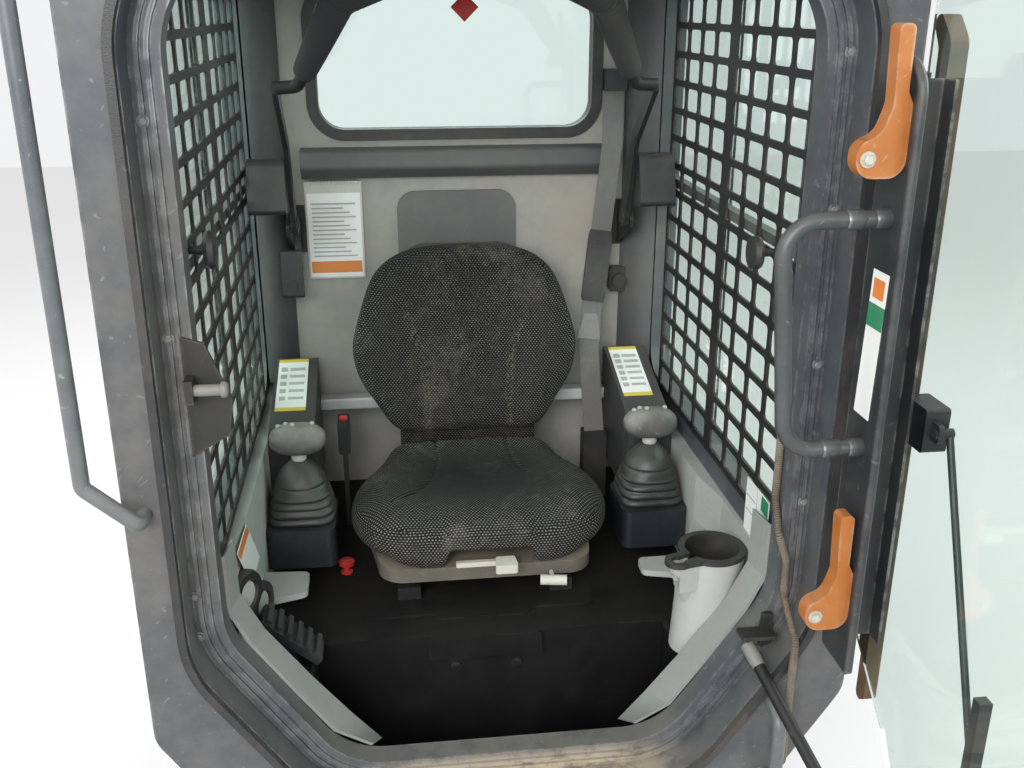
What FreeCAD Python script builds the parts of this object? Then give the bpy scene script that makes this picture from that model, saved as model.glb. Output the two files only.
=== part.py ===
import FreeCAD, Part
import Sketcher
import math
import os

# Operator's cab of a skid steer loader, with its front door standing open.
# Axes: X across the cab, Y to the rear, Z up.
# Origin: underside of the footwell floor, on the centre plane. All sizes in millimetres.

doc = FreeCAD.newDocument("OperatorCab")
sheet = doc.addObject("Spreadsheet::Sheet", "Sizes")

# Driving dimensions: name, value, what it measures.
SIZES = (
    ("cab_half_width", 500, "outer face of each side frame"),
    ("side_wall", 50, "thickness of a side frame"),
    ("panel_recess", 12, "depth of the pressed field in a side frame"),
    ("cab_front", -100, "front edge of the side frames and back of the door ring"),
    ("rear_wall_face", 800, "inner face of the rear wall"),
    ("rear_wall_depth", 35, "thickness of the rear wall"),
    ("roof_underside", 1545, "ceiling height"),
    ("roof_depth", 45, "thickness of the roof pressing"),
    ("base_height", 235, "underside of the base rails"),
    ("seat_deck", 340, "top of the seat box"),
    ("sheet_metal", 5, "pressed steel sheet"),
    ("ring_lap", 50, "width of the door ring beyond the side frames"),
    ("ring_front", -195, "front face of the ring flange"),
    ("rebate_face", -140, "face of the door rebate"),
    ("rebate_width", 42, "width of the door rebate"),
    ("ring_foot", 190, "lowest edge of the ring"),
    ("ridge_height", 5, "height of the two ridges in the rebate"),
    ("opening_inset", 10, "edge of the door opening inside the side frames"),
    ("opening_drop", 25, "top of the door opening below the ceiling"),
    ("sill_height", 262, "top of the door sill"),
    ("mesh_thickness", 4, "punched side guard"),
    ("mesh_pitch_along", 88, "hole pitch along the cab"),
    ("mesh_pitch_up", 56, "hole pitch upwards"),
    ("mesh_web", 13, "web between two holes"),
    ("mesh_corner", 9, "corner radius of the holes"),
    ("window_low", 625, "lower edge of the side windows"),
    ("window_drop", 55, "upper edge of the windows below the ceiling"),
    ("pane", 5, "thickness of the window panes"),
    ("side_panel", 25, "depth of the panels under the side windows"),
    ("rear_window_inset", 125, "side edges of the rear window inside the side frames"),
    ("rear_window_height", 330, "height of the rear window"),
    ("tub_inset", 120, "footwell walls inside the side frames"),
    ("tub_rear", 100, "front face of the seat box"),
    ("seat_half_width", 258, "half width of the seat cushion"),
    ("cushion_front", 180, "front edge of the seat cushion"),
    ("cushion_top", 530, "top of the seat cushion"),
    ("cushion_base", 430, "underside of the seat cushion"),
    ("stick_inset", 93, "control sticks inside the side frames"),
    ("stick_along", 375, "place of the control sticks along the cab"),
    ("boot_foot", 470, "foot of the stick bellows"),
    ("pivot_radius", 16, "bore of the rear cab pivots"),
    ("door_axis_inset", 20, "door hinge axis inside the outer edge of the ring"),
    ("door_axis_ahead", 50, "door hinge axis in front of the ring"),
    ("door_glass", 8, "thickness of the door pane"),
    ("hinge_pin", 5, "radius of the door hinge pins"),
    ("hinge_play", 0.08, "radial play of a pin in its barrel"),
    ("strip_depth", 75, "depth of the hinge side member of the door"),
    ("bar_inset", 92, "arms of the restraint bar inside the side frames"),
    ("bar_ahead", 120, "pivots of the restraint bar in front of the rear wall"),
    ("bar_drop", 545, "pivots of the restraint bar below the ceiling"),
    ("grab_tube", 11, "radius of the grab tubes"),
    ("play", 0.3, "gap between a soft or moulded piece and what carries it"),
)
for row, (alias, value, note) in enumerate(SIZES, start=1):
    sheet.set(f"A{row}", alias)
    sheet.set(f"B{row}", str(value))
    sheet.set(f"C{row}", note)
    sheet.setAlias(f"B{row}", alias)
doc.recompute()

parts = []


def size(alias):
    """Value of one driving dimension."""
    return float(sheet.get(alias))


def vector(across, along, up):
    return FreeCAD.Vector(across, along, up)


def keep(thing, label):
    """Register a finished sub-part under its name."""
    thing.Label = label
    parts.append(thing)
    return thing


def rounded(corners):
    """Edges of a closed outline through (across, up, radius) corners in a plane."""
    points = [vector(across, up, 0) for across, up, radius in corners]
    count = len(points)
    ends = []
    for index, (across, up, radius) in enumerate(corners):
        here = points[index]
        if radius == 0:
            ends.append((here, None, here))
            continue
        back = (points[index - 1] - here).normalize()
        ahead = (points[(index + 1) % count] - here).normalize()
        half = back.getAngle(ahead) / 2
        reach = radius / math.tan(half)
        middle = here + (back + ahead).normalize() * (radius / math.sin(half) - radius)
        ends.append((here + back * reach, middle, here + ahead * reach))
    edges = []
    for index, (start, middle, end) in enumerate(ends):
        if middle is not None:
            edges.append(Part.Arc(start, middle, end))
        following = ends[(index + 1) % count][0]
        if end.distanceToPoint(following) > 1e-6:
            edges.append(Part.LineSegment(end, following))
    return edges


def box_outline(left, right, low, high, radius=0):
    return [(left, low, radius), (right, low, radius), (right, high, radius), (left, high, radius)]


def grown(corners, distance):
    """Outline moved outwards by a distance, for corners listed anticlockwise."""
    count = len(corners)
    result = []
    for index, (across, up, radius) in enumerate(corners):
        here = vector(across, up, 0)
        before = vector(*corners[index - 1][:2], 0)
        after = vector(*corners[(index + 1) % count][:2], 0)
        first = (here - before).normalize()
        second = (after - here).normalize()
        out_first = vector(first.y, -first.x, 0)
        out_second = vector(second.y, -second.x, 0)
        shift = (out_first + out_second) * (distance / (1 + out_first.dot(out_second)))
        turn = first.x * second.y - first.y * second.x
        new_radius = max(radius + distance * math.copysign(1, turn), 0) if radius else 0
        result.append((across + shift.x, up + shift.y, new_radius))
    return result


def wire_in(corners, plane, offset):
    """Closed wire of an outline set in the XZ, YZ or XY plane at an offset."""
    wire = Part.Wire([edge.toShape() for edge in rounded(corners)])
    if plane == "XZ":
        wire.rotate(vector(0, 0, 0), vector(1, 0, 0), 90)
        wire.translate(vector(0, offset, 0))
    if plane == "YZ":
        wire.rotate(vector(0, 0, 0), vector(1, 0, 0), 90)
        wire.rotate(vector(0, 0, 0), vector(0, 0, 1), 90)
        wire.translate(vector(offset, 0, 0))
    if plane == "XY":
        wire.translate(vector(0, 0, offset))
    return wire


def slab(corners, plane, start, end, holes=()):
    """Solid of one outline, with holes, between two offsets of its plane."""
    wires = [wire_in(corners, plane, start)] + [wire_in(hole, plane, start) for hole in holes]
    face = Part.makeFace(wires, "Part::FaceMakerBullseye")
    along = {"XZ": vector(0, 1, 0), "YZ": vector(1, 0, 0), "XY": vector(0, 0, 1)}[plane]
    return face.extrude(along * (end - start))


def bent_path(points, bend):
    """Wire of straight runs joined by tangent arcs of one radius."""
    edges = []
    start = points[0]
    for index in range(1, len(points) - 1):
        here = points[index]
        back = (points[index - 1] - here).normalize()
        ahead = (points[index + 1] - here).normalize()
        half = back.getAngle(ahead) / 2
        reach = bend / math.tan(half)
        middle = here + (back + ahead).normalize() * (bend / math.sin(half) - bend)
        leave = here + ahead * reach
        edges.append(Part.LineSegment(start, here + back * reach).toShape())
        edges.append(Part.Arc(here + back * reach, middle, leave).toShape())
        start = leave
    edges.append(Part.LineSegment(start, points[-1]).toShape())
    return Part.Wire(edges)


def tube(points, radius, bend):
    """Round bar bent through the points."""
    path = bent_path(points, bend)
    section = Part.Face(Part.Wire([Part.Circle(points[0], points[1] - points[0], radius).toShape()]))
    return path.makePipe(section)


def feature(label, shape):
    """Sub-part whose form is worked out from the sheet's sizes."""
    piece = doc.addObject("Part::Feature", label)
    piece.Shape = shape
    piece.Placement = shape.Placement
    return keep(piece, label)


def plane_of(body, role):
    return next(item for item in body.Origin.OriginFeatures if item.Role == role)


def new_body(label):
    body = doc.addObject("PartDesign::Body", label)
    return keep(body, label)


def sketch_in(body, role, offset, outlines):
    """Sketch of closed outlines on one of the body's own planes, moved by a sheet formula."""
    sketch = body.newObject("Sketcher::SketchObject", body.Label + "_outline")
    sketch.AttachmentSupport = (plane_of(body, role), [""])
    sketch.MapMode = "FlatFace"
    if offset:
        sketch.setExpression("AttachmentOffset.Base.z", offset)
    for outline in outlines:
        sketch.addGeometry(rounded(outline), False)
    return sketch


def pad(body, role, offset, length, outlines):
    """Pad of closed outlines: offset and length are sheet formulas."""
    sketch = sketch_in(body, role, offset, outlines)
    step = body.newObject("PartDesign::Pad", body.Label + "_pad")
    step.Profile = sketch
    step.setExpression("Length", length)
    doc.recompute()
    return step


def pocket(body, role, offset, length, outlines):
    """Pocket that runs the same way as a pad would: offset and length are sheet formulas."""
    before = body.Shape.Volume
    sketch = sketch_in(body, role, offset, outlines)
    step = body.newObject("PartDesign::Pocket", body.Label + "_pocket")
    step.Profile = sketch
    step.Reversed = True
    step.setExpression("Length", length)
    doc.recompute()
    if body.Shape.Volume > before - 1e-3:
        raise ValueError(body.Label + ": a pocket cuts nothing")
    return step


def soften(body, radius, wanted):
    """Fillet on the edges for which wanted(edge) is true."""
    base = body.Tip
    names = [f"Edge{index}" for index, edge in enumerate(base.Shape.Edges, start=1) if wanted(edge)]
    step = body.newObject("PartDesign::Fillet", body.Label + "_fillet")
    step.Base = (base, names)
    step.Radius = radius
    doc.recompute()
    return step


def revolve(points, centre):
    """Solid turned about a vertical axis from (radius, height) points."""
    corners = [vector(centre[0] + radius, centre[1], up) for radius, up in points]
    outline = Part.makePolygon(corners + [corners[0]])
    return Part.Face(outline).revolve(vector(centre[0], centre[1], 0), vector(0, 0, 1), 360)


def disc(centre, up, radius):
    """Horizontal circle as a closed wire."""
    return Part.Wire([Part.Circle(vector(*centre, up), vector(0, 0, 1), radius).toShape()])


def upright(centre, radius, low, high):
    """Upright cylinder between two heights."""
    return Part.makeCylinder(radius, high - low, vector(*centre, low))


# Sizes that several sub-parts share
side_inner = size("cab_half_width") - size("side_wall")
rear_face = size("rear_wall_face")
rear_outer = rear_face + size("rear_wall_depth")
ceiling = size("roof_underside")
roof_top = ceiling + size("roof_depth")
window_high = ceiling - size("window_drop")
rear_window_low = window_high - size("rear_window_height")
ring_half = size("cab_half_width") + size("ring_lap")
ring_front = size("ring_front")
sheet_metal = size("sheet_metal")
play = size("play")

# Door opening in the ring, wider above the two slanting lower corners
opening_half = side_inner - size("opening_inset")
opening_top = ceiling - size("opening_drop")
sill = size("sill_height")
opening = [
    (175 - opening_half, sill, 120), (opening_half - 175, sill, 120), (opening_half, sill + 258, 140),
    (opening_half, opening_top, 145), (-opening_half, opening_top, 145), (-opening_half, sill + 258, 140),
]

# Footwell: a pressed tub below the door sill
tub = new_body("footwell_tub")
tub_half = side_inner - size("tub_inset")
pad(tub, "XZ_Plane", "-Sizes.tub_rear", "Sizes.tub_rear - Sizes.cab_front",
    [box_outline(-tub_half, tub_half, 0, size("seat_deck"))])
tub_inner_half = tub_half - sheet_metal
pocket(tub, "XZ_Plane", "-Sizes.tub_rear", "Sizes.tub_rear - Sizes.cab_front - Sizes.sheet_metal",
       [box_outline(-tub_inner_half, tub_inner_half, sheet_metal, size("seat_deck") + sheet_metal)])
pocket(tub, "XZ_Plane", "-Sizes.tub_rear", "Sizes.tub_rear - Sizes.cab_front", [grown(opening, 9)])

# Seat box: riser at the back of the footwell and deck under the seat
box = new_body("seat_box")
riser = [
    (-tub_half, 0, 0), (tub_half, 0, 0), (tub_half, size("base_height"), 0),
    (side_inner - 60, size("base_height"), 0), (side_inner - 60, size("seat_deck"), 0),
    (60 - side_inner, size("seat_deck"), 0), (60 - side_inner, size("base_height"), 0),
    (-tub_half, size("base_height"), 0),
]
pad(box, "XZ_Plane", "-Sizes.tub_rear - Sizes.sheet_metal", "Sizes.sheet_metal", [riser])
deck_plan = [
    (-side_inner, size("cab_front"), 0), (-tub_half, size("cab_front"), 0), (-tub_half, size("tub_rear"), 0),
    (tub_half, size("tub_rear"), 0), (tub_half, size("cab_front"), 0), (side_inner, size("cab_front"), 0),
    (side_inner, rear_face, 0), (-side_inner, rear_face, 0),
]
pad(box, "XY_Plane", "Sizes.seat_deck - Sizes.sheet_metal", "Sizes.sheet_metal", [deck_plan])
pad(box, "XZ_Plane", "-Sizes.tub_rear", "2.4 * Sizes.sheet_metal",
    [box_outline(-120, 92, size("seat_deck") - 46, size("seat_deck"), 9)])
for across in (-70, 45):
    pocket(box, "XZ_Plane", "-Sizes.tub_rear - Sizes.sheet_metal", "4 * Sizes.sheet_metal",
           [box_outline(across - 8, across + 8, 262, 278, 7.9)])

# Lid in the deck in front of the seat, with a stepped front edge
lid = new_body("service_lid")
pad(lid, "XY_Plane", "Sizes.seat_deck", "0.8 * Sizes.sheet_metal",
    [[(-240, 168, 20), (-110, 168, 12), (-92, 150, 12), (70, 150, 12), (88, 172, 12), (212, 172, 20),
      (212, 330, 20), (-240, 330, 20)]])

# Base rails under the deck, hollow boxes joined by a rear cross member
rail_low = size("base_height")
rail_high = size("seat_deck") - sheet_metal
rails = []
for side in (-1, 1):
    left, right = sorted((side * (side_inner - 60), side * side_inner))
    hollow = box_outline(left + sheet_metal, right - sheet_metal, rail_low + sheet_metal,
                         rail_high - sheet_metal)
    rails.append(slab(box_outline(left, right, rail_low, rail_high), "XZ", size("tub_rear") + sheet_metal,
                      rear_face, [hollow]))
cross_half = side_inner - 60
cross = slab(box_outline(rear_face - 60, rear_face, rail_low, rail_high), "YZ", -cross_half, cross_half,
             [box_outline(rear_face - 60 + sheet_metal, rear_face - sheet_metal, rail_low + sheet_metal,
                          rail_high - sheet_metal)])
feature("base_rails", rails[0].fuse([rails[1], cross]).removeSplitter())

# Side frames: front edge, roof rail, rear upright down to its foot, and lower panel
foot_front = rear_outer - 100
window = box_outline(size("cab_front") + 35, rear_face - 55, size("window_low"), window_high, 60)
frame_outline = [
    (size("cab_front"), size("seat_deck"), 30), (size("cab_front") + 90, size("base_height"), 30),
    (foot_front, size("base_height"), 40), (foot_front, 0, 0), (rear_outer, 0, 0), (rear_outer, ceiling, 0),
    (size("cab_front"), ceiling, 0),
]
pivot_along = rear_outer - 50
pivot_up = 60
for side, name in ((-1, "left"), (1, "right")):
    frame = new_body("side_frame_" + name)
    offset = "-Sizes.cab_half_width" if side < 0 else "Sizes.cab_half_width - Sizes.side_wall"
    pad(frame, "YZ_Plane", offset, "Sizes.side_wall", [frame_outline])
    pocket(frame, "YZ_Plane", offset, "Sizes.side_wall", [window])
    bore_sketch = sketch_in(frame, "YZ_Plane", offset, [])
    bore_circle = Part.Circle(vector(pivot_along, pivot_up, 0), vector(0, 0, 1), size("pivot_radius"))
    bore_sketch.addGeometry(bore_circle, False)
    bore_sketch.addConstraint(Sketcher.Constraint("Radius", 0, size("pivot_radius")))
    bore_sketch.setExpression("Constraints[0]", "Sizes.pivot_radius")
    bore_cut = frame.newObject("PartDesign::Pocket", "pivot_cut")
    bore_cut.Profile = bore_sketch
    bore_cut.Reversed = True
    bore_cut.setExpression("Length", "Sizes.side_wall")
    doc.recompute()
    recess = "-Sizes.cab_half_width" if side < 0 else "Sizes.cab_half_width - Sizes.panel_recess"
    pocket(frame, "YZ_Plane", recess, "Sizes.panel_recess",
           [box_outline(size("cab_front") + 60, foot_front - 20, size("base_height") + 50,
                        size("window_low") - 45, 45)])

# Rear wall with its window opening and pressed swages on the outside
wall = new_body("rear_wall")
wall_back = "-Sizes.rear_wall_face - Sizes.rear_wall_depth"
pad(wall, "XZ_Plane", wall_back, "Sizes.rear_wall_depth",
    [box_outline(-side_inner, side_inner, size("base_height"), ceiling)])
rear_opening_half = side_inner - size("rear_window_inset")
rear_opening = box_outline(-rear_opening_half, rear_opening_half, rear_window_low, window_high, 80)
pocket(wall, "XZ_Plane", wall_back, "Sizes.rear_wall_depth", [rear_opening])
swage_half = side_inner - 80
swage_pitch = (rear_window_low - size("base_height")) * 0.29
for index in range(3):
    low = size("base_height") + 95 + index * swage_pitch
    pocket(wall, "XZ_Plane", wall_back, "2 * Sizes.sheet_metal",
           [box_outline(-swage_half, swage_half, low, low + 0.7 * swage_pitch, 40)])

# Rounded covers in the two rear corners
covers = []
for side in (-1, 1):
    corner, front, middle, inner = [
        vector(side * (side_inner - inset), rear_face - ahead, size("window_low"))
        for inset, ahead in ((0, 0), (5, 62), (46, 44), (72, 0))
    ]
    outline = Part.Wire([
        Part.makeLine(corner, front), Part.Arc(front, middle, inner).toShape(), Part.makeLine(inner, corner),
    ])
    covers.append(Part.Face(outline).extrude(vector(0, 0, ceiling - size("window_low"))))
feature("rear_posts", Part.makeCompound(covers))

# Moulded ledge under the rear window, with two seams
ledge_low = rear_window_low - 80
ledge_half = rear_opening_half + 20
ledge_profile = [
    (rear_face - 20, ledge_low, 10), (rear_face - 44, ledge_low + 24, 14),
    (rear_face - 38, ledge_low + 62, 8), (rear_face, ledge_low + 66, 0), (rear_face, ledge_low, 0),
]
ledge = slab(ledge_profile, "YZ", -ledge_half, ledge_half)
for seam in (-155, 132):
    ledge = ledge.cut(Part.makeBox(3, 4, 80, vector(seam - 1.5, rear_face - 48, ledge_low - 5)))
feature("rear_ledge", ledge)

# Flat access panel in the lining behind the seat
panel = new_body("access_panel")
panel_high = ledge_low - 33
panel_low = panel_high - 287
pad(panel, "XZ_Plane", "-Sizes.rear_wall_face", "1.6 * Sizes.sheet_metal",
    [[(-139, panel_low, 12), (130, panel_low, 12), (130, panel_high, 42), (-139, panel_high, 42)]])

# Rear window and its rubber seal
seal = slab(rear_opening, "XZ", rear_face - 6, rear_outer + 4, [grown(rear_opening, -24)])
pane_face = rear_face + 3 * sheet_metal
rear_pane = slab(grown(rear_opening, -12), "XZ", pane_face, pane_face + size("pane"))
feature("rear_window_seal", seal.cut(rear_pane))
feature("rear_window", rear_pane)

# Roof pressing with three long swages
roof = new_body("roof_panel")
half = size("cab_half_width")
swage_long = (size("cab_front") + 90, rear_outer - 90)
pad(roof, "XY_Plane", "Sizes.roof_underside", "Sizes.roof_depth",
    [box_outline(-half, half, size("cab_front"), rear_outer, 24)])
for middle in (-0.58 * half, 0, 0.58 * half):
    pocket(roof, "XY_Plane", "Sizes.roof_underside + Sizes.roof_depth - 2 * Sizes.sheet_metal",
           "2 * Sizes.sheet_metal",
           [box_outline(middle - 0.17 * half, middle + 0.17 * half, *swage_long, 40)])

# Door ring: flange, rebate for the door and two raised ridges
ring = new_body("door_ring")
ring_outer = [
    (120 - ring_half, size("ring_foot"), 60), (ring_half - 120, size("ring_foot"), 60), (ring_half, 380, 60),
    (ring_half, roof_top, 90), (-ring_half, roof_top, 90), (-ring_half, 380, 60),
]
pad(ring, "XZ_Plane", "-Sizes.cab_front", "Sizes.cab_front - Sizes.ring_front", [ring_outer, opening])
rebate = grown(opening, size("rebate_width"))
pocket(ring, "XZ_Plane", "-Sizes.rebate_face", "Sizes.rebate_face - Sizes.ring_front", [rebate])
for distance in (17, 30):
    ridge = grown(opening, distance)
    pad(ring, "XZ_Plane", "-Sizes.rebate_face", "Sizes.ridge_height", [grown(ridge, 3), grown(ridge, -3)])

# Rubber door seal on the flange
seal_line = grown(opening, size("rebate_width") + 8)
feature("door_seal", slab(grown(seal_line, 6), "XZ", ring_front - 12, ring_front, [grown(seal_line, -6)]))

# Sloped trims between the lower corners of the ring and the footwell.
# Each line runs down the ring's edge: distance inside the opening's side, height above the sill.
trim_front = [(0, 378), (0.5, 278), (28, 218), (95, 119), (152, 38), (212, 4)]
trim_back = [(7, 378), (8, 278), (42, 208), (116, 104), (178, 25), (225, -30)]
trims = []
for side in (1, -1):
    sections = []
    for along, line in ((size("cab_front"), trim_front), (size("cab_front") + 56, trim_back)):
        edge = [vector(side * (opening_half - inset), along, sill + up) for inset, up in line]
        lining = [point + vector(-side * sheet_metal, 0, 3) for point in edge]
        sections.append(Part.makePolygon(edge + lining[::-1] + [edge[0]]))
    trims.append(Part.makeLoft(sections, True, True))
feature("corner_trims", Part.makeCompound(trims))

# Punched guards inside the side windows: four columns of rounded holes on each side of a wide bar
guard_front = size("cab_front") + 2
guard_low = size("window_low") - 15
pitch_along = size("mesh_pitch_along")
pitch_up = size("mesh_pitch_up")
columns = [guard_front + 16 + index * pitch_along for index in range(4)]
middle_bar = columns[-1] + pitch_along + 26
columns += [middle_bar + index * pitch_along for index in range(4)]
rows = [guard_low + 14 + index * pitch_up for index in range(int((window_high - guard_low) / pitch_up))]
hole_long = pitch_along - size("mesh_web")
hole_high = pitch_up - size("mesh_web")
guard_outline = box_outline(guard_front, columns[-1] + pitch_along + 2, guard_low, rows[-1] + pitch_up)
punched = [box_outline(along, along + hole_long, up, up + hole_high, size("mesh_corner"))
           for along in columns for up in rows]
for side, name in ((-1, "left"), (1, "right")):
    guard = new_body("mesh_guard_" + name)
    if side < 0:
        offset = "-Sizes.cab_half_width + Sizes.side_wall"
    else:
        offset = "Sizes.cab_half_width - Sizes.side_wall - Sizes.mesh_thickness"
    pad(guard, "YZ_Plane", offset, "Sizes.mesh_thickness", [guard_outline] + punched)

# Sliding side windows, two panes a side, and the rails that they run in
panes = []
window_rails = []
split = (size("cab_front") + rear_face) / 2
window_front = window[0][0]
window_rear = window[1][0]
clear = slab(window, "YZ", -size("cab_half_width"), size("cab_half_width"))
for side in (-1, 1):
    for inset, start, end in ((23.5, window_front, split + 15), (15.5, split - 15, window_rear)):
        middle = side * (size("cab_half_width") - inset)
        pane = slab(box_outline(start, end, size("window_low"), window_high), "YZ", middle - size("pane") / 2,
                    middle + size("pane") / 2)
        panes.append(pane.common(clear))
    rail_span = sorted((side * (side_inner + 3), side * (side_inner + 21)))
    window_rails.append(slab(box_outline(window_front, window_rear, 1074, 1092), "YZ", *rail_span))
feature("side_windows", Part.makeCompound(panes))
feature("window_rails", Part.makeCompound(window_rails))

# Light grey lower panel on the left, with two round vents and a shelf bracket
panel_top = guard_low - 5
panel_inner = side_inner - size("side_panel")
panel_front = size("cab_front") + 58
left_plan = [
    (-side_inner, panel_front, 0), (15 - side_inner, panel_front, 0), (22 - side_inner, 110, 20),
    (-panel_inner, 330, 30), (-panel_inner, rear_face, 0), (-side_inner, rear_face, 0),
]
left_panel = slab(left_plan, "XY", size("seat_deck"), panel_top)
shelf_low = size("seat_deck") + 60
left_shelf = slab([(5 - panel_inner, 140, 0), (85 - panel_inner, 165, 14), (85 - panel_inner, 240, 14),
                   (-5 - panel_inner, 247, 0)], "XY", shelf_low, shelf_low + 12)
for along, up in ((2, 512), (104, 452)):
    vent_at = vector(-panel_inner + 35, along, up)
    ring_cut = Part.makeCylinder(34, 40, vent_at, vector(-1, 0, 0))
    ring_keep = Part.makeCylinder(22, 60, vent_at, vector(-1, 0, 0))
    deep = Part.makeBox(60, 90, 90, vector(-side_inner + 12, along - 45, up - 45))
    left_panel = left_panel.cut(ring_cut.cut(ring_keep).common(deep))
feature("side_panel_left", left_panel.fuse(left_shelf).removeSplitter())

# Light grey panel on the right, with a shelf bracket and a tapered cup pod.
# The pod has a lobe for the ear of a mug.
cup = (panel_inner - 43, 14)
ear = (cup[0] - 72, cup[1] - 38)
well_radius = 52
rim_radius = 59.7
pod_top = size("seat_deck") + 193
pod_foot = size("seat_deck") + sheet_metal
right_plan = [
    (side_inner, panel_front, 0), (side_inner, rear_face, 0), (panel_inner, rear_face, 0),
    (panel_inner, 262, 20), (side_inner - 8, 150, 20), (side_inner - 8, panel_front, 0),
]
right_panel = slab(right_plan, "XY", size("seat_deck"), panel_top - 40)
shoulder = slab([(side_inner, 40, 0), (side_inner, 262, 0), (panel_inner, 262, 0),
                 (panel_inner - 63, 110, 12), (panel_inner - 63, 40, 0)],
                "XY", size("seat_deck"), pod_top - 63)
right_shelf = slab([(panel_inner + 5, 130, 0), (panel_inner + 5, 215, 0), (panel_inner - 125, 215, 14),
                    (panel_inner - 125, 165, 14)], "XY", shelf_low, shelf_low + 12)
bowl = Part.makeLoft([disc((cup[0] - 20, cup[1] - 14), pod_foot, 24), disc(cup, pod_top, well_radius + 5)],
                     True, True)
ear_cone = Part.makeLoft([disc((cup[0] - 30, cup[1] - 14), shelf_low, 8), disc(ear, pod_top, 19)], True, True)
bridge = slab([(cup[0], cup[1] - 40, 0), (cup[0], cup[1] + 20, 0), (ear[0], ear[1] + 19, 0),
               (ear[0], ear[1] - 18, 0)], "XY", pod_top - 50, pod_top)
well = upright(cup, well_radius, pod_top - 105, pod_top + 40)
ear_slot = slab([(cup[0], cup[1] - 14, 0), (cup[0], cup[1] + 4, 0), (ear[0], ear[1] + 9, 0),
                 (ear[0], ear[1] - 9, 0)], "XY", pod_top - 40, pod_top + 40)
ear_hole = upright(ear, 12, pod_top - 40, pod_top + 40).fuse(ear_slot)
pod = right_panel
for piece in (shoulder, right_shelf, bowl, ear_cone, bridge):
    pod = pod.fuse(piece)
feature("side_panel_right", pod.cut(well).cut(ear_hole))
rim_lobe = upright(ear, 23, pod_top, pod_top + 8)
rim_bridge = slab([(cup[0], cup[1] - 44, 0), (cup[0], cup[1] + 24, 0), (ear[0], ear[1] + 23, 0),
                   (ear[0], ear[1] - 22, 0)], "XY", pod_top, pod_top + 8)
rim = upright(cup, rim_radius, pod_top, pod_top + 8).fuse([rim_lobe, rim_bridge])
liner = upright(cup, well_radius, pod_top - 105, pod_top).fuse(rim)
liner = liner.cut(upright(cup, well_radius - 4, pod_top - 100, pod_top + 40))
feature("cup_liner", liner.cut(ear_hole).removeSplitter())

# Ribbed foot rest on the left of the footwell
rest = Part.makeBox(128, 62, 14, vector(-64, -31, -7))
for index in range(6):
    rest = rest.fuse(Part.makeBox(9, 58, 9, vector(-60 + index * 21, -29, 7)))
rest.rotate(vector(0, 0, 0), vector(0, 1, 0), 41)
rest_across = 88 - side_inner
rest.translate(vector(rest_across, 55, size("seat_deck") + 53))
rest_leg = Part.makeBox(18, 30, 40, vector(rest_across - 10, 40, size("seat_deck")))
feature("foot_rest", rest.fuse(rest_leg).removeSplitter())

# Seat: rails, pan, back shell, cushions and two levers
seat_half = size("seat_half_width")
cushion_front = size("cushion_front")
cushion_rear = cushion_front + 432
cushion_base = size("cushion_base")
deck = size("seat_deck")
rails = [slab(box_outline(side * 150 - 22, side * 150 + 22, cushion_front + 45, cushion_rear + 8),
              "XY", deck + 4, deck + 30) for side in (-1, 1)]
slide_bed = slab(box_outline(-175, 175, cushion_front + 70, cushion_rear - 12, 20),
                 "XY", deck + 30, deck + 62)
feature("seat_rails", rails[0].fuse([rails[1], slide_bed]).removeSplitter())
pan_low = deck + 62
pan_high = cushion_base - play
pan_plan = [
    (-200, cushion_front + 10, 50), (200, cushion_front + 10, 50), (236, cushion_front + 240, 60),
    (220, cushion_rear + 38, 40), (-220, cushion_rear + 38, 40), (-236, cushion_front + 240, 60),
]
feature("seat_pan", slab(pan_plan, "XY", pan_low, pan_high))
cushion = new_body("seat_cushion")
pad(cushion, "XY_Plane", "Sizes.cushion_base", "Sizes.cushion_top - Sizes.cushion_base", [[
    (68 - seat_half, cushion_front, 100), (seat_half - 68, cushion_front, 100),
    (seat_half + 12, cushion_front + 170, 150), (seat_half - 80, cushion_rear, 60),
    (80 - seat_half, cushion_rear, 60), (-seat_half - 12, cushion_front + 170, 150)]])
soften(cushion, 28, lambda edge: min(v.Z for v in edge.Vertexes) > size("cushion_top") - 1)
pocket(cushion, "XZ_Plane", "-Sizes.cushion_front - 70", "90",
       [box_outline(-72, 88, cushion_base - 20, cushion_base + 24, 10)])
back_corners = [
    (-164, 0, 40), (164, 0, 40), (seat_half + 4, 152, 95), (190, 330, 130), (118, 415, 90), (-118, 415, 90),
    (-190, 330, 130), (-seat_half - 4, 152, 95),
]
back_lean = 9
back_half = 42
back_foot = vector(0, cushion_rear + 8, size("cushion_top") + 16)


def leaning(shape):
    """Shape drawn upright at the origin, leaned back and set on the seat's rear edge."""
    shape.rotate(vector(0, 0, 0), vector(1, 0, 0), -back_lean)
    shape.translate(back_foot)
    return shape


back_pad = slab(back_corners, "XZ", -back_half, back_half)
front_rim = [edge for edge in back_pad.Edges if edge.BoundBox.YMax < 1 - back_half]
feature("seat_back", leaning(back_pad.makeFillet(22, front_rim)))
shell_plate = leaning(slab(grown(back_corners, -8), "XZ", back_half + play, back_half + 20))
post_box = Part.makeBox(90, 26, 210, vector(-45, back_foot.y + 30, pan_low))
post_clear = leaning(slab(grown(back_corners, 2), "XZ", -60, back_half + play))
feature("seat_shell", shell_plate.fuse(post_box.cut(post_clear)).removeSplitter())
lever_along = cushion_front + 6
knob_plan = [(12, lever_along - 36, 6), (56, lever_along - 36, 6), (52, lever_along, 4),
             (16, lever_along, 4)]
knob = slab(knob_plan, "XY", pan_high + 2, pan_high + 20)
knob_stem = slab(box_outline(-60, 44, lever_along, lever_along + 10, 4), "XY", pan_high, pan_high + 10)
slide_grip = tube([vector(100, lever_along - 18, pan_low + 2), vector(150, lever_along - 26, pan_low + 2)],
                  10, 1)
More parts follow.
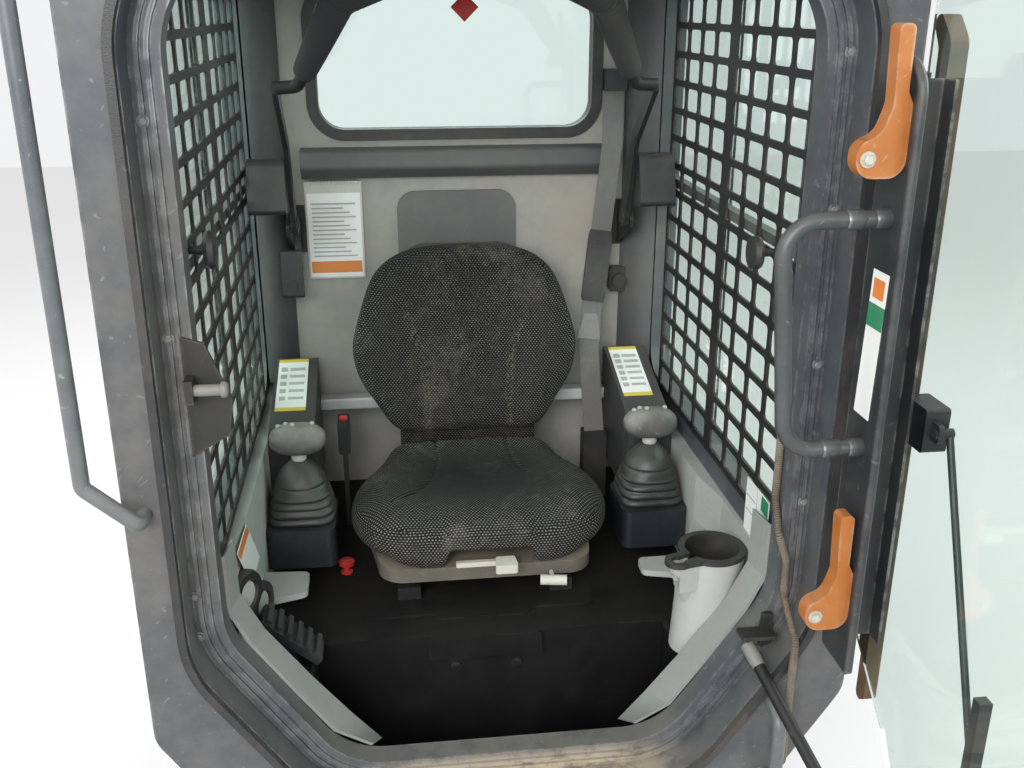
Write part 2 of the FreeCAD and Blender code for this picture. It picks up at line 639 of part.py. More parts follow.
slide_stem = Part.makeCylinder(4, 26, vector(124, lever_along - 22, pan_low + 5), vector(0, 1, 0))
feature("seat_levers", Part.makeCompound([knob.fuse(knob_stem), slide_grip.fuse(slide_stem)]))

# Sloped consoles beside the seat, stick pods, bellows and grips
consoles = []
pods = []
boots = []
grips = []
console_edge = panel_inner - play
console_width = 93.7
console_front = size("stick_along") + 69
console_rear = rear_face - 65
pod_width = 135
boot_foot = size("boot_foot")
boot_top = boot_foot + 118
# radius and height above the pod, from the lowest fold to the neck
boot_rings = [(0, 0), (65, 0), (66, 8), (59, 15), (64, 23), (57, 30), (61, 38), (53, 45), (57, 53), (48, 60),
              (48, 76), (43, 92), (31, 104), (22, 108), (18, 118), (0, 118)]
# half width, half depth, corner radius and height above the bellows
grip_sections = ((20, 14, 12, 16), (46, 25, 22, 28), (52, 31, 28, 48), (48, 29, 26, 66), (32, 17, 14, 76))
console_profile = [
    (console_front, boot_foot - 40, 0), (console_rear, boot_foot - 40, 6),
    (console_rear, boot_foot + 220, 12), (console_front, boot_foot + 133, 16),
]
for side in (-1, 1):
    console_ends = sorted((side * (console_edge - console_width), side * console_edge))
    consoles.append(slab(console_profile, "YZ", *console_ends))
    stick = (side * (side_inner - size("stick_inset")), size("stick_along"))
    pod_ends = sorted((side * (console_edge - pod_width), side * console_edge))
    pod_plan = box_outline(*pod_ends, stick[1] - 80, console_front - play, 18)
    pods.append(slab(pod_plan, "XY", boot_foot - 82, boot_foot))
    boots.append(revolve([(radius, boot_foot + up) for radius, up in boot_rings], stick))
    sections = [
        wire_in(box_outline(stick[0] - wide, stick[0] + wide, stick[1] - deep, stick[1] + deep, radius), "XY",
                boot_top + up)
        for wide, deep, radius, up in grip_sections
    ]
    grips.append(Part.makeLoft(sections, True).fuse(upright(stick, 13, boot_top, boot_top + 20)))
feature("arm_consoles", Part.makeCompound(consoles))
feature("stick_pods", Part.makeCompound(pods))
feature("stick_bellows", Part.makeCompound(boots))
feature("stick_grips", Part.makeCompound(grips))

# Lap and shoulder belt on the right: distance inside the side frame, distance in front of the
# rear wall, and height above its lower end. The buckle stands on the left.
belt_line = ((100, 14, 762), (109, 52, 650), (130, 56, 446),
             (153, 88, 290), (162, 110, 190), (150, 138, 0))
belt_foot = deck + 160
belt_head = ceiling - 283
belt_sections = []
for inset, ahead, rise in belt_line:
    across = side_inner - inset
    along = rear_face - ahead
    corners = box_outline(across - 23, across + 23, along - 1, along + 1)
    up = belt_foot + rise * (belt_head - belt_foot) / belt_line[0][2]
    belt_sections.append(wire_in(corners, "XY", up))
feature("belt_webbing", Part.makeLoft(belt_sections, True, True))
guide_at = vector(side_inner - 124, rear_face - 26, belt_head)
feature("belt_guide", Part.makeBox(50, 26, 46, guide_at))
buckle_body = slab(box_outline(-288, -262, deck + 180, deck + 256, 8), "XZ", 545, 600)
buckle_stalk = slab(box_outline(-280, -270, deck, deck + 180), "XZ", 560, 584)
winder = Part.makeBox(54, 46, 160, vector(side_inner - 177, rear_face - 160, deck))
feature("belt_buckles", Part.makeCompound([buckle_body.fuse(buckle_stalk), winder]))

# Booklet hung on the rear wall below the ledge
booklet_high = ledge_low - 7
feature("booklet", slab(box_outline(-342, -216, booklet_high - 220, booklet_high, 3), "XZ", rear_face - 9,
                        rear_face))

# Two small cases at the rear: a pouch on a strap beside the left bar bracket,
# and a power socket on the right corner cover
cases_hang = ceiling - size("bar_drop")
strap_outer = size("bar_inset") - side_inner - 9.7
pouch_middle = strap_outer - 8.3
pouch_low = cases_hang - 178
pouch_high = cases_hang - 70
pouch_outline = [(rear_face - 44, pouch_low, 6), (rear_face - 44, pouch_high, 4),
                 (rear_face - 64, pouch_high, 4), (rear_face - 72, pouch_low + 4, 8)]
pouch = slab(pouch_outline, "YZ", pouch_middle - 23, pouch_middle + 23)
strap = Part.makeBox(14, 5, 70, vector(strap_outer, rear_face - 52, pouch_high - 15))
button_seat = vector(pouch_middle, rear_face - 68, pouch_low + 30)
pouch_button = Part.makeCylinder(13, 5, button_seat, vector(0, -1, 0))
socket_middle = side_inner - 78
socket_up = cases_hang - 166
socket_case = slab(box_outline(socket_middle - 22, socket_middle + 22, socket_up - 29, socket_up + 29, 8),
                   "XZ", rear_face - 26, rear_face)
socket_cap = Part.makeCylinder(16, 12, vector(socket_middle, rear_face - 26, socket_up), vector(0, -1, 0))
socket_seat = socket_case.fuse(socket_cap).cut(Part.makeCompound(covers))
feature("wall_cases", Part.makeCompound([pouch.fuse([strap, pouch_button]), socket_seat]))

# Door striker on the left of the ring: bracket and pin
striker_up = 938
striker_along = -165
rebate_face = size("rebate_face")
bracket = slab([(-opening_half - 16, 830, 0), (40 - opening_half, 862, 10), (48 - opening_half, 915, 10),
                (16 - opening_half, 1000, 8), (-opening_half - 16, 1010, 0)],
               "XZ", rebate_face - 6, rebate_face)
lug = Part.makeBox(12, 34, 34, vector(-opening_half - 12, striker_along - 12, striker_up - 17))
pin = Part.makeCylinder(8, 45, vector(-opening_half, striker_along, striker_up), vector(1, 0, 0))
feature("door_striker", bracket.fuse([lug, pin]).cut(ring.Shape).removeSplitter())

# Grab tubes on the outside of the ring
grab = size("grab_tube")
left_foot = 30 - ring_half
left_reach = left_foot - 67
feature("grab_rail_left", tube([
    vector(left_foot, ring_front, 768), vector(left_foot, ring_front - 36, 768),
    vector(left_reach, ring_front - 38, 830), vector(left_reach, ring_front - 38, ceiling - 75),
    vector(left_foot, ring_front - 36, ceiling - 13), vector(left_foot, ring_front, ceiling - 13)], grab, 14))
right_foot = opening_half - 15
feature("grab_rail_right", tube([
    vector(right_foot, ring_front, 372), vector(right_foot, ring_front - 52, 372),
    vector(right_foot, ring_front - 52, 225), vector(right_foot, ring_front, 225)], grab, 30))

# Door hinges, cab side: two brackets with their pins
axis_across = ring_half - size("door_axis_inset")
axis_along = ring_front - size("door_axis_ahead")
hinge_heights = (620, ceiling - 245)
knuckle = 10
barrel_height = 56
knuckle_height = 30
brackets = []
for up in hinge_heights:
    low = up - barrel_height / 2
    pin_foot = vector(axis_across, axis_along, low - 32)
    pieces = [Part.makeCylinder(size("hinge_pin"), barrel_height + 64, pin_foot)]
    for start in (low - knuckle_height - 1, low + barrel_height + 1):
        pieces.append(Part.makeCylinder(knuckle, knuckle_height, vector(axis_across, axis_along, start)))
        pieces.append(Part.makeBox(16, ring_front - axis_along, knuckle_height,
                                   vector(axis_across - 6, axis_along, start)))
    pieces.append(Part.makeBox(34, 6, barrel_height + 80, vector(axis_across - 18, ring_front - 6, low - 40)))
    brackets.append(pieces[0].fuse(pieces[1:]).removeSplitter())
feature("hinge_brackets", Part.makeCompound(brackets))

# Gas strut bracket on the ring. Its ball stud stands along the axis about which the strut turns.
ball = vector(opening_half - 45, ring_front + 30, 450)
ball_radius = 7
stud_radius = 4
stud_axis = vector(-0.21260207, 0.16847647, 0.96250509)
shelf_up = ball.z + 18
stud = Part.makeCylinder(stud_radius, 22, ball, stud_axis)
strut_shelf = slab([(ball.x - 15, ball.y - 8, 6), (ball.x + 43, ball.y - 8, 3), (ball.x + 43, rebate_face, 0),
                    (ball.x - 15, rebate_face, 0)], "XY", shelf_up, shelf_up + 6)
strut_plate = slab([(ball.x + 23, shelf_up - 30, 3), (ball.x + 43, shelf_up - 20, 3),
                    (ball.x + 43, shelf_up + 34, 3), (ball.x + 25, shelf_up + 34, 3)], "XZ", rebate_face - 11,
                   rebate_face)
strut_base = strut_shelf.fuse(strut_plate).cut(ring.Shape)
feature("strut_bracket", strut_base.fuse([stud, Part.makeSphere(ball_radius, ball)]).removeSplitter())

# Restraint bar brackets on the rear wall
bar_pivot = vector(side_inner - size("bar_inset"), rear_face - size("bar_ahead"), ceiling - size("bar_drop"))
bar_pin = 9
pin_length = 27
blade_thick = 10
holders = []
for side in (-1, 1):
    cheek_middle = side * (bar_pivot.x + 14)
    cheek_low = bar_pivot.z - 85
    cheek_high = bar_pivot.z + 20
    cheek = slab([
        (rear_face - 40, cheek_low + 20, 12), (bar_pivot.y - 12, bar_pivot.z - 25, 12),
        (bar_pivot.y - 18, bar_pivot.z, 12), (bar_pivot.y + 6, cheek_high, 18), (rear_face, cheek_high, 0),
        (rear_face, cheek_low, 0)], "YZ", cheek_middle - 4, cheek_middle + 4)
    plate = Part.makeBox(32, 6, 105, vector(side * (bar_pivot.x + 2) - 16, rear_face - 6, cheek_low))
    rod = Part.makeCylinder(bar_pin, pin_length, vector(side * (bar_pivot.x - 9), bar_pivot.y, bar_pivot.z),
                            vector(side, 0, 0))
    holders.append(cheek.fuse([plate, rod]).removeSplitter())
feature("bar_brackets", Part.makeCompound(holders))

# Restraint bar: two arms, the bent tube between them, foam and arm rests
running_play = size("hinge_play")
arms = []
for side in (-1, 1):
    blade_middle = side * bar_pivot.x
    outline = [(bar_pivot.y + 20, bar_pivot.z - 4, 18), (bar_pivot.y - 62, bar_pivot.z + 185, 60),
               (bar_pivot.y - 215, bar_pivot.z + 312, 8), (bar_pivot.y - 232, bar_pivot.z + 288, 8),
               (bar_pivot.y - 92, bar_pivot.z + 172, 50), (bar_pivot.y - 20, bar_pivot.z - 12, 18)]
    blade = slab(outline, "YZ", blade_middle - blade_thick / 2, blade_middle + blade_thick / 2)
    hub = Part.makeCylinder(20, 14, vector(blade_middle - 7, bar_pivot.y, bar_pivot.z), vector(1, 0, 0))
    hole = Part.makeCylinder(bar_pin + running_play, 40, vector(blade_middle - 20, bar_pivot.y, bar_pivot.z),
                             vector(1, 0, 0))
    arms.append(blade.fuse(hub).cut(hole))
# the tube's corners: distance inside the arm, distance in front of the pivot, height above it
bar_line = ((0, 218, 296), (42, 232, 300), (130, 350, 452), (238, 444, 500))
bar_points = [vector(inset - bar_pivot.x, bar_pivot.y - ahead, bar_pivot.z + up)
              for inset, ahead, up in bar_line]
bar_tube = tube(bar_points + [vector(-point.x, point.y, point.z) for point in reversed(bar_points)], 12, 22)
feature("restraint_bar", bar_tube.fuse(arms).removeSplitter())
foam = []
for side in (-1, 1):
    low_end, middle, high_end = [vector(-side * point.x, point.y, point.z) for point in bar_points[1:]]
    lower = middle - low_end
    upper = high_end - middle
    sleeve = Part.makeCone(21, 30, lower.Length * 0.72, low_end + lower * 0.14, lower)
    upper_sleeve = Part.makeCone(31, 35, upper.Length * 0.62, middle + upper * 0.2, upper)
    foam.append(sleeve.fuse([upper_sleeve, Part.makeSphere(31.5, middle)]).cut(bar_tube))
feature("restraint_foam", Part.makeCompound(foam))
rests = []
for side in (-1, 1):
    rest_ends = sorted((side * (bar_pivot.x + blade_thick / 2), side * (side_inner - 12)))
    rests.append(slab([
        (bar_pivot.y - 96, bar_pivot.z + 150, 16), (bar_pivot.y - 128, bar_pivot.z + 44, 10),
        (bar_pivot.y - 4, bar_pivot.z + 36, 10), (bar_pivot.y - 40, bar_pivot.z + 146, 16)],
        "YZ", *rest_ends))
feature("arm_rests", Part.makeCompound(rests))

# Wiring loom down the right of the ring to the lower hinge: distance inside the opening's side,
# distance in front of the rebate, and height
loom_line = ((7, -18, 845), (7, -18, 700), (7, 10, 650), (-10, 11.8, 600), (-10, 11.8, 540), (-10, 76, 490),
             (-9, 76, 250), (-9, 55, 250))
loom_points = [vector(opening_half - inset, rebate_face - ahead, up) for inset, ahead, up in loom_line]
feature("wiring_loom", tube(loom_points, 6.5, 18))

# Front door. At rest it stands open at a right angle: distances from the hinge axis
# run forwards along the pane, and the outer side of the door faces away from the cab.


def door_outline(corners):
    """Outline of (distance from the hinge, height, radius) in the plane of the open door."""
    return [(axis_along - distance, up, radius) for distance, up, radius in reversed(corners)]


glass_thick = size("door_glass")
glass_inner = axis_across - glass_thick
door_reach = axis_across + ring_half - 50
door_top = ceiling + 15
glass_outline = [
    (16, 540, 20), (130, 440, 40), (290, 215, 60), (door_reach - 280, 215, 60), (door_reach - 125, 440, 60),
    (door_reach, 540, 60), (door_reach, door_top, 110), (16, door_top, 60),
]
feature("door_pane", slab(door_outline(glass_outline), "YZ", glass_inner, axis_across))

# Hinge side member: a Z section with a beaded free edge
strip_low = 555
strip_high = ceiling - 165
strip_face = glass_inner - size("strip_depth")
strip_plate = slab(door_outline([(63, strip_low, 6), (150, strip_low, 6), (150, strip_high, 42),
                                 (63, strip_high, 20)]), "YZ", strip_face, strip_face + 4)
web_span = (axis_along - 67, axis_along - 63)
web = slab(box_outline(*web_span, strip_low + 10, strip_high - 24), "YZ", strip_face + 4, glass_inner)
strip_foot = slab(box_outline(axis_along - 95, web_span[0], strip_low + 10, strip_high - 24, 2), "YZ",
                  glass_inner - 4, glass_inner)
bead = tube([vector(strip_face + 2, axis_along - distance, up)
             for distance, up in ((84, strip_high), (150, strip_high), (150, strip_low + 8))], 6, 42)
feature("door_strip", strip_plate.fuse([web, strip_foot, bead]).removeSplitter())
rail_outline = [(30, 420, 10), (58, 440, 10), (58, strip_high + 20, 24), (20, strip_high + 60, 10),
                (14, strip_high + 35, 10), (30, strip_high + 10, 20)]
outer_rail = slab(door_outline(rail_outline), "YZ", axis_across, axis_across + 24)
leaves = []
for up in hinge_heights:
    foot = vector(axis_across, axis_along, up - barrel_height / 2)
    leaf = Part.makeBox(8, 40, barrel_height, foot + vector(1, -40, 0))
    barrel = Part.makeCylinder(knuckle, barrel_height, foot)
    bore = Part.makeCylinder(size("hinge_pin") + running_play, barrel_height, foot)
    leaves.append(leaf.fuse(barrel).cut(bore))
feature("door_outer_rail", outer_rail.fuse(leaves).removeSplitter())
handle_along = axis_along - 110
feature("door_handle", tube([
    vector(strip_face, handle_along, 1193), vector(strip_face - 135, handle_along, 1193),
    vector(strip_face - 107, handle_along, 888), vector(strip_face, handle_along, 888)], grab, 45))

# Two orange release levers: a round hub with a grip that rises beside the hinge side member.
# Distance from the member's face, height above the hub, radius.
lever_outline = [
    (-62, -26, 22), (0, -26, 22), (0, 60, 6), (-7, 74, 6), (-7, 149, 7), (-27, 149, 7), (-23, 60, 30),
    (-35, 22, 26), (-62, 18, 20),
]
levers = []
for hub_up in (strip_high - 108, 649):
    outline = [(strip_face + away, hub_up + up, radius) for away, up, radius in lever_outline]
    lever = slab(outline, "XZ", axis_along - 134, axis_along - 110)
    pin_foot = vector(strip_face - 48, axis_along - 134, hub_up - 3)
    levers.append(lever.cut(Part.makeCylinder(6, 24, pin_foot, vector(0, 1, 0))))
feature("release_levers", Part.makeCompound(levers))
latch_reach = axis_across + opening_half
latch = slab([(glass_inner - 90, striker_up - 45, 6), (glass_inner, striker_up - 45, 0),
              (glass_inner, striker_up + 45, 0), (glass_inner - 90, striker_up + 45, 6)],
             "XZ", axis_along - latch_reach + 10, axis_along - latch_reach + 65)
slot = Part.makeBox(40, 80, 26, vector(glass_inner - 95, axis_along - latch_reach, striker_up - 13))
feature("door_latch", latch.cut(slot))
wiper_box = slab(door_outline(box_outline(60, 125, 880, 942, 5)), "YZ", axis_across, axis_across + 34)
spindle = Part.makeCylinder(7, 26, vector(axis_across + 8, axis_along - 135, 912), vector(1, 0, 0))
spindle_plate = slab(door_outline([(120, 900, 0), (145, 900, 8), (145, 926, 8), (120, 926, 0)]), "YZ",
                     axis_across + 10, axis_across + 18)
wiper_arm = tube([vector(axis_across + 30, axis_along - 135, 912),
                  vector(axis_across + 22, axis_along - 330, 475)], 5, 10)
wiper_blade = slab(door_outline(box_outline(322, 338, 270, 640)), "YZ", axis_across + play, axis_across + 17)
feature("wiper", wiper_box.fuse([spindle, spindle_plate, wiper_arm, wiper_blade]).removeSplitter())

# Gas strut between the ring and the foot of the door
strut_radius = 10
rod_radius = 4
eye_open = vector(axis_across - 30, axis_along - 300, 240)
strut_length = (eye_open - ball).Length
strut_dir = (eye_open - ball).normalize()
tube_length = 235
socket = Part.makeSphere(11, ball).fuse(Part.makeCylinder(strut_radius, 22, ball, strut_dir))
strut_barrel = Part.makeCylinder(strut_radius, tube_length, ball + strut_dir * 22, strut_dir)
ball_seat = Part.makeSphere(ball_radius + running_play, ball)
stud_hole = Part.makeCylinder(stud_radius + running_play, 16, ball, stud_axis)
rod_bore = Part.makeCylinder(rod_radius + running_play, tube_length, ball + strut_dir * 36, strut_dir)
feature("strut_tube", socket.fuse(strut_barrel).cut(ball_seat).cut(stud_hole).cut(rod_bore))
rod = Part.makeCylinder(rod_radius, 190, ball + strut_dir * (strut_length - 202), strut_dir)
rod_eye = Part.makeCylinder(9, 20, ball + strut_dir * (strut_length - 14), strut_dir)
stud_slot = Part.makeCylinder(stud_radius + 0.6, 14, eye_open, vector(1, 0, 0))
rod_eye = rod_eye.cut(Part.makeSphere(5.3, eye_open)).cut(stud_slot)
feature("strut_rod", rod.fuse(rod_eye).removeSplitter())
door_stud = Part.makeCylinder(stud_radius, 30 - glass_thick, eye_open, vector(1, 0, 0))
door_stud = door_stud.fuse(Part.makeSphere(5, eye_open))
door_pad = Part.makeBox(6, 44, 30, vector(glass_inner - 6, eye_open.y - 22, eye_open.z - 15))
feature("strut_door_stud", door_stud.fuse(door_pad).removeSplitter())

doc.recompute()
for thing in doc.Objects:
    if "Invalid" in thing.State or "Error" in thing.State:
        raise ValueError(thing.Label + " failed")
for part in parts:
    if part.Shape.isNull() or not part.Shape.isValid():
        raise ValueError(part.Label + " has no valid shape")

os.makedirs("parts", exist_ok=True)
for part in parts:
    part.Shape.exportStep(f"parts/{part.Label}.step")
print(len(parts), "sub-parts written")
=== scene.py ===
import bpy
import math
import numpy as np
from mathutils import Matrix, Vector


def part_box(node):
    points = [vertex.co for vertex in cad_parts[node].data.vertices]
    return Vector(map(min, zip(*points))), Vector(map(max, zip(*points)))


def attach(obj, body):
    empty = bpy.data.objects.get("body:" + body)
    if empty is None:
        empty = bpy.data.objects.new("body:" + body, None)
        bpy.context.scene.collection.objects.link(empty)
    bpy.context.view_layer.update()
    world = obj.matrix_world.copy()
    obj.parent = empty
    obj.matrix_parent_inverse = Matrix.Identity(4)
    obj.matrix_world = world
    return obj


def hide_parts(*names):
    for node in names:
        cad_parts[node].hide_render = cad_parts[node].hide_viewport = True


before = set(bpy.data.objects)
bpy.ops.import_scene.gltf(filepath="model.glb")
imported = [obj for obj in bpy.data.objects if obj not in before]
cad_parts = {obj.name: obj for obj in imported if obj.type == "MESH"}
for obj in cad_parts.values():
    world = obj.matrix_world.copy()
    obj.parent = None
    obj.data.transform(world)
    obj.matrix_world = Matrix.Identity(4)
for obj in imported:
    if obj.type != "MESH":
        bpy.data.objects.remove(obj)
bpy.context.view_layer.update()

# Studio. The cab stands on a pale floor under broad soft lamps. The strongest comes from the
# front left, as daylight does in a yard, and one by the viewer lights the inside through the
# open door. The world shows white to the camera, in gloss and through glass.
floor_level = -0.02
floor_half = 9


def add_node(tree, kind, settings=None, values=None):
    """New shader node. Values are constants or sockets, keyed by the input's name or number."""
    made = tree.nodes.new(kind)
    for name, value in (settings or {}).items():
        setattr(made, name, value)
    for key, value in (values or {}).items():
        if isinstance(value, bpy.types.NodeSocket):
            tree.links.new(value, made.inputs[key])
        else:
            made.inputs[key].default_value = value
    return made


def mesh_object(name, points, faces, smooth_below=None):
    """Mesh object from an array of points and a list of faces, shaded smooth below an angle in degrees."""
    mesh = bpy.data.meshes.new(name)
    mesh.from_pydata(points.tolist(), [], faces)
    mesh.validate()
    if smooth_below is not None:
        mesh.shade_smooth()
        mesh.set_sharp_from_angle(angle=math.radians(smooth_below))
    made = bpy.data.objects.new(name, mesh)
    bpy.context.scene.collection.objects.link(made)
    return made


def studio_material(name, colour, strength, own_light):
    """Pale surface that shows an even tone and keeps shadows. own_light is its share of emission."""
    material = bpy.data.materials.new(name)
    material.use_nodes = True
    tree = material.node_tree
    tree.nodes.clear()
    output = add_node(tree, "ShaderNodeOutputMaterial")
    diffuse = add_node(tree, "ShaderNodeBsdfDiffuse", None, {"Color": (*colour, 1)})
    glow = add_node(tree, "ShaderNodeEmission", None, {"Color": (*colour, 1), "Strength": strength})
    both = add_node(tree, "ShaderNodeMixShader", None, {0: own_light, 1: diffuse.outputs[0], 2: glow.outputs[0]})
    tree.links.new(both.outputs[0], output.inputs["Surface"])
    return material


floor_points = np.array([(across * floor_half, along * floor_half, floor_level)
                         for across, along in ((-1, -1), (1, -1), (1, 1), (-1, 1))])
floor = mesh_object("studio_floor", floor_points, [(0, 1, 2, 3)])
floor.data.materials.append(studio_material("floor_tone", (0.84, 0.84, 0.84), 0.95, 0.62))

world = bpy.data.worlds.new("studio_world")
bpy.context.scene.world = world
world.use_nodes = True
sky = world.node_tree
sky.nodes.clear()
ray = add_node(sky, "ShaderNodeLightPath")
seen = ray.outputs["Is Camera Ray"]
for kind in ("Is Transmission Ray", "Is Glossy Ray"):
    seen = add_node(sky, "ShaderNodeMath", {"operation": "MAXIMUM"}, {0: seen, 1: ray.outputs[kind]}).outputs[0]
soft = add_node(sky, "ShaderNodeBackground", None, {"Color": (1.0, 1.0, 1.0, 1), "Strength": 0.85})
white = add_node(sky, "ShaderNodeBackground", None, {"Color": (0.93, 0.94, 0.95, 1), "Strength": 0.95})
sky_mix = add_node(sky, "ShaderNodeMixShader", None, {0: seen, 1: soft.outputs[0], 2: white.outputs[0]})
add_node(sky, "ShaderNodeOutputWorld", None, {"Surface": sky_mix.outputs[0]})

# name, place, aim, width, height, power
lamps = (
    ("front_lamp", (-1.3, -3.2, 2.4), (0.0, 0.3, 0.7), 2.4, 1.8, 150),
    ("left_lamp", (-3.0, 0.3, 2.6), (0.0, 0.3, 0.9), 2.4, 2.0, 75),
    ("right_lamp", (3.2, 0.2, 2.6), (0.0, 0.3, 0.9), 2.4, 2.0, 75),
    ("rear_lamp", (0.0, 3.4, 2.8), (0.0, 0.6, 1.2), 2.4, 1.8, 50),
)
for name, place, aim, width, height, power in lamps:
    light = bpy.data.lights.new(name, "AREA")
    light.shape = "RECTANGLE"
    light.size = width
    light.size_y = height
    light.energy = power
    lamp = bpy.data.objects.new(name, light)
    bpy.context.scene.collection.objects.link(lamp)
    lamp.location = place
    direction = np.array(aim) - np.array(place)
    flat = math.hypot(direction[0], direction[1])
    lamp.rotation_euler = (math.atan2(flat, -direction[2]), 0, math.atan2(-direction[0], direction[1]))

camera_data = bpy.data.cameras.new("camera")
camera_data.sensor_width = 36
camera_data.lens = 36.56
camera = bpy.data.objects.new("camera", camera_data)
camera.location = (-0.169, -1.559, 1.44)
looks_down, looks_right = 20.02, 7.06
camera.rotation_euler = (math.radians(90 - looks_down), 0, math.radians(-looks_right))
bpy.context.scene.collection.objects.link(camera)
bpy.context.scene.camera = camera
bpy.context.scene.view_settings.view_transform = "Standard"


# Shell of the cab. Side frames, rear wall, roof and base rails are pressed and welded steel with
# a dark grey coat that is rubbed on the edges. Inside, the rear wall is lined in warm grey: behind
# the lining's face its colour turns to that of the coat.
def effect(name, inputs, metal=True):
    """Empty node group with named inputs (name, value), whose outputs are a colour, a roughness, a
    bump height and, for metals, a share of bare metal. Also gives the piece's place and normal."""
    tree = bpy.data.node_groups.new(name, "ShaderNodeTree")
    for label, value in inputs:
        kind = "NodeSocketColor" if isinstance(value, tuple) else "NodeSocketFloat"
        socket = tree.interface.new_socket(label, in_out="INPUT", socket_type=kind)
        socket.default_value = (*value, 1) if isinstance(value, tuple) else value
    tree.interface.new_socket("Colour", in_out="OUTPUT", socket_type="NodeSocketColor")
    for label in ("Roughness", "Metal", "Height") if metal else ("Roughness", "Height"):
        tree.interface.new_socket(label, in_out="OUTPUT", socket_type="NodeSocketFloat")
    given = add_node(tree, "NodeGroupInput").outputs
    result = add_node(tree, "NodeGroupOutput").inputs
    where = add_node(tree, "ShaderNodeTexCoord").outputs["Object"]
    normal = add_node(tree, "ShaderNodeNewGeometry").outputs["Normal"]
    return tree, given, result, where, normal


def joined(kind, settings, values):
    """Outputs of a new node in the tree that its linked values belong to."""
    tree = next(value.id_data for value in values.values() if isinstance(value, bpy.types.NodeSocket))
    return add_node(tree, kind, settings, values).outputs


def noise(where, scale, detail=3.0, roughness=0.55, distortion=0.0):
    """Grey noise from 0 to 1 with so many cells to the metre."""
    return joined("ShaderNodeTexNoise", None, {"Vector": where, "Scale": scale, "Detail": detail,
                                               "Roughness": roughness, "Distortion": distortion})["Fac"]


def ramp(value, low, high, low_to=0.0, high_to=1.0):
    """Value carried from low..high to low_to..high_to with soft ends."""
    return joined("ShaderNodeMapRange", {"interpolation_type": "SMOOTHSTEP"}, {
        "Value": value, "From Min": low, "From Max": high, "To Min": low_to, "To Max": high_to})["Result"]


def reckon(operation, first, second=0.0, third=0.0):
    """Result of a sum on sockets and numbers, such as first * second + third for MULTIPLY_ADD."""
    return joined("ShaderNodeMath", {"operation": operation}, {0: first, 1: second, 2: third})[0]


def times(first, second):
    """Product of two sockets or numbers."""
    return reckon("MULTIPLY", first, second)


def parts(vector):
    """Sockets of a vector's x, y and z."""
    return joined("ShaderNodeSeparateXYZ", None, {0: vector})


def blend_colour(share, first, second, kind="MIX"):
    """First colour carried towards the second by a share, or multiplied by it."""
    return joined("ShaderNodeMix", {"data_type": "RGBA", "blend_type": kind}, {0: share, 6: first, 7: second})[2]


def mottled(colour, pattern, spread):
    """Colour made darker and lighter by a pattern, from 1 - spread to 1 + spread."""
    low = (1 - spread, 1 - spread, 1 - spread, 1)
    high = (1 + spread, 1 + spread, 1 + spread, 1)
    return blend_colour(1.0, colour, blend_colour(pattern, low, high), "MULTIPLY")


def send(tree, result, **sockets):
    """Links sockets to a group's outputs of the same names."""
    for label, socket in sockets.items():
        tree.links.new(socket, result[label])


def build_coat():
    """Coated steel: mottled paint, edges rubbed to bare metal, fine scratches, settled dust.

    Rubbed = how far the bevelled normal leaves the true one, times a noise. Dust = a slow noise
    plus the upward part of the normal. Scratches are two stretched noises, cut at their peaks.
    Tread = dust on the low middle of the piece, where feet pass."""
    tree, given, result, where, normal = effect("worn coat", (
        ("Colour", (0.1, 0.1, 0.1)), ("Bare", (0.35, 0.34, 0.32)), ("Dust", (0.3, 0.27, 0.22)),
        ("Rub", 0.4), ("Dirt", 0.3), ("Gloss", 0.45), ("Tread", 0.0)))
    slow = noise(where, 3.5, 4.0)
    middle = noise(where, 26, 5.0, 0.65)
    fine = noise(where, 340, 2.0)
    worn_normal = add_node(tree, "ShaderNodeBevel", {"samples": 4}, {"Radius": 0.006}).outputs[0]
    facing = joined("ShaderNodeVectorMath", {"operation": "DOT_PRODUCT"}, {0: worn_normal, 1: normal})["Value"]
    edge = ramp(facing, 0.995, 0.86)
    rubbed = times(edge, ramp(middle, 0.44, 0.60))
    rubbed = times(rubbed, given["Rub"])
    scratch = None
    for turn, length, width in (((0.4, 0.7, 0.2), 18, 150), ((1.9, 0.3, 0.9), 12, 105)):
        stretched = joined("ShaderNodeMapping", {"vector_type": "TEXTURE"}, {
            "Vector": where, "Scale": (1, 1, length), "Rotation": turn})[0]
        mark = ramp(noise(stretched, width, 1.0, 0.4, 0.4), 0.725, 0.775)
        scratch = mark if scratch is None else reckon("MAXIMUM", scratch, mark)
    scratch = times(scratch, times(given["Rub"], 0.3))
    dusty = reckon("MULTIPLY_ADD", parts(normal)[2], 0.22, slow)
    dusty = reckon("MULTIPLY_ADD", middle, 0.35, dusty)
    dusty = times(ramp(dusty, 0.52, 0.98), given["Dirt"])
    across, along, up = parts(where)
    middle_off = reckon("ABSOLUTE", reckon("ADD", across, -0.02))
    trodden = times(ramp(up, 0.272, 0.235), ramp(middle_off, 0.34, 0.14))
    trodden = times(trodden, ramp(middle, 0.34, 0.56, 0.35, 1.0))
    dusty = reckon("MAXIMUM", dusty, times(trodden, given["Tread"]))
    colour = blend_colour(dusty, mottled(given["Colour"], middle, 0.25), given["Dust"])
    bare = reckon("MAXIMUM", rubbed, scratch)
    colour = blend_colour(bare, colour, given["Bare"])
    rough = reckon("MULTIPLY_ADD", dusty, 0.35, given["Gloss"])
    rough = reckon("MULTIPLY_ADD", slow, 0.12, reckon("MULTIPLY_ADD", fine, 0.12, rough))
    height = reckon("MULTIPLY_ADD", fine, 0.25, times(bare, -0.8))
    height = reckon("MULTIPLY_ADD", middle, 0.3, height)
    send(tree, result, Colour=colour, Roughness=rough, Metal=times(rubbed, 0.7), Height=height)
    return tree


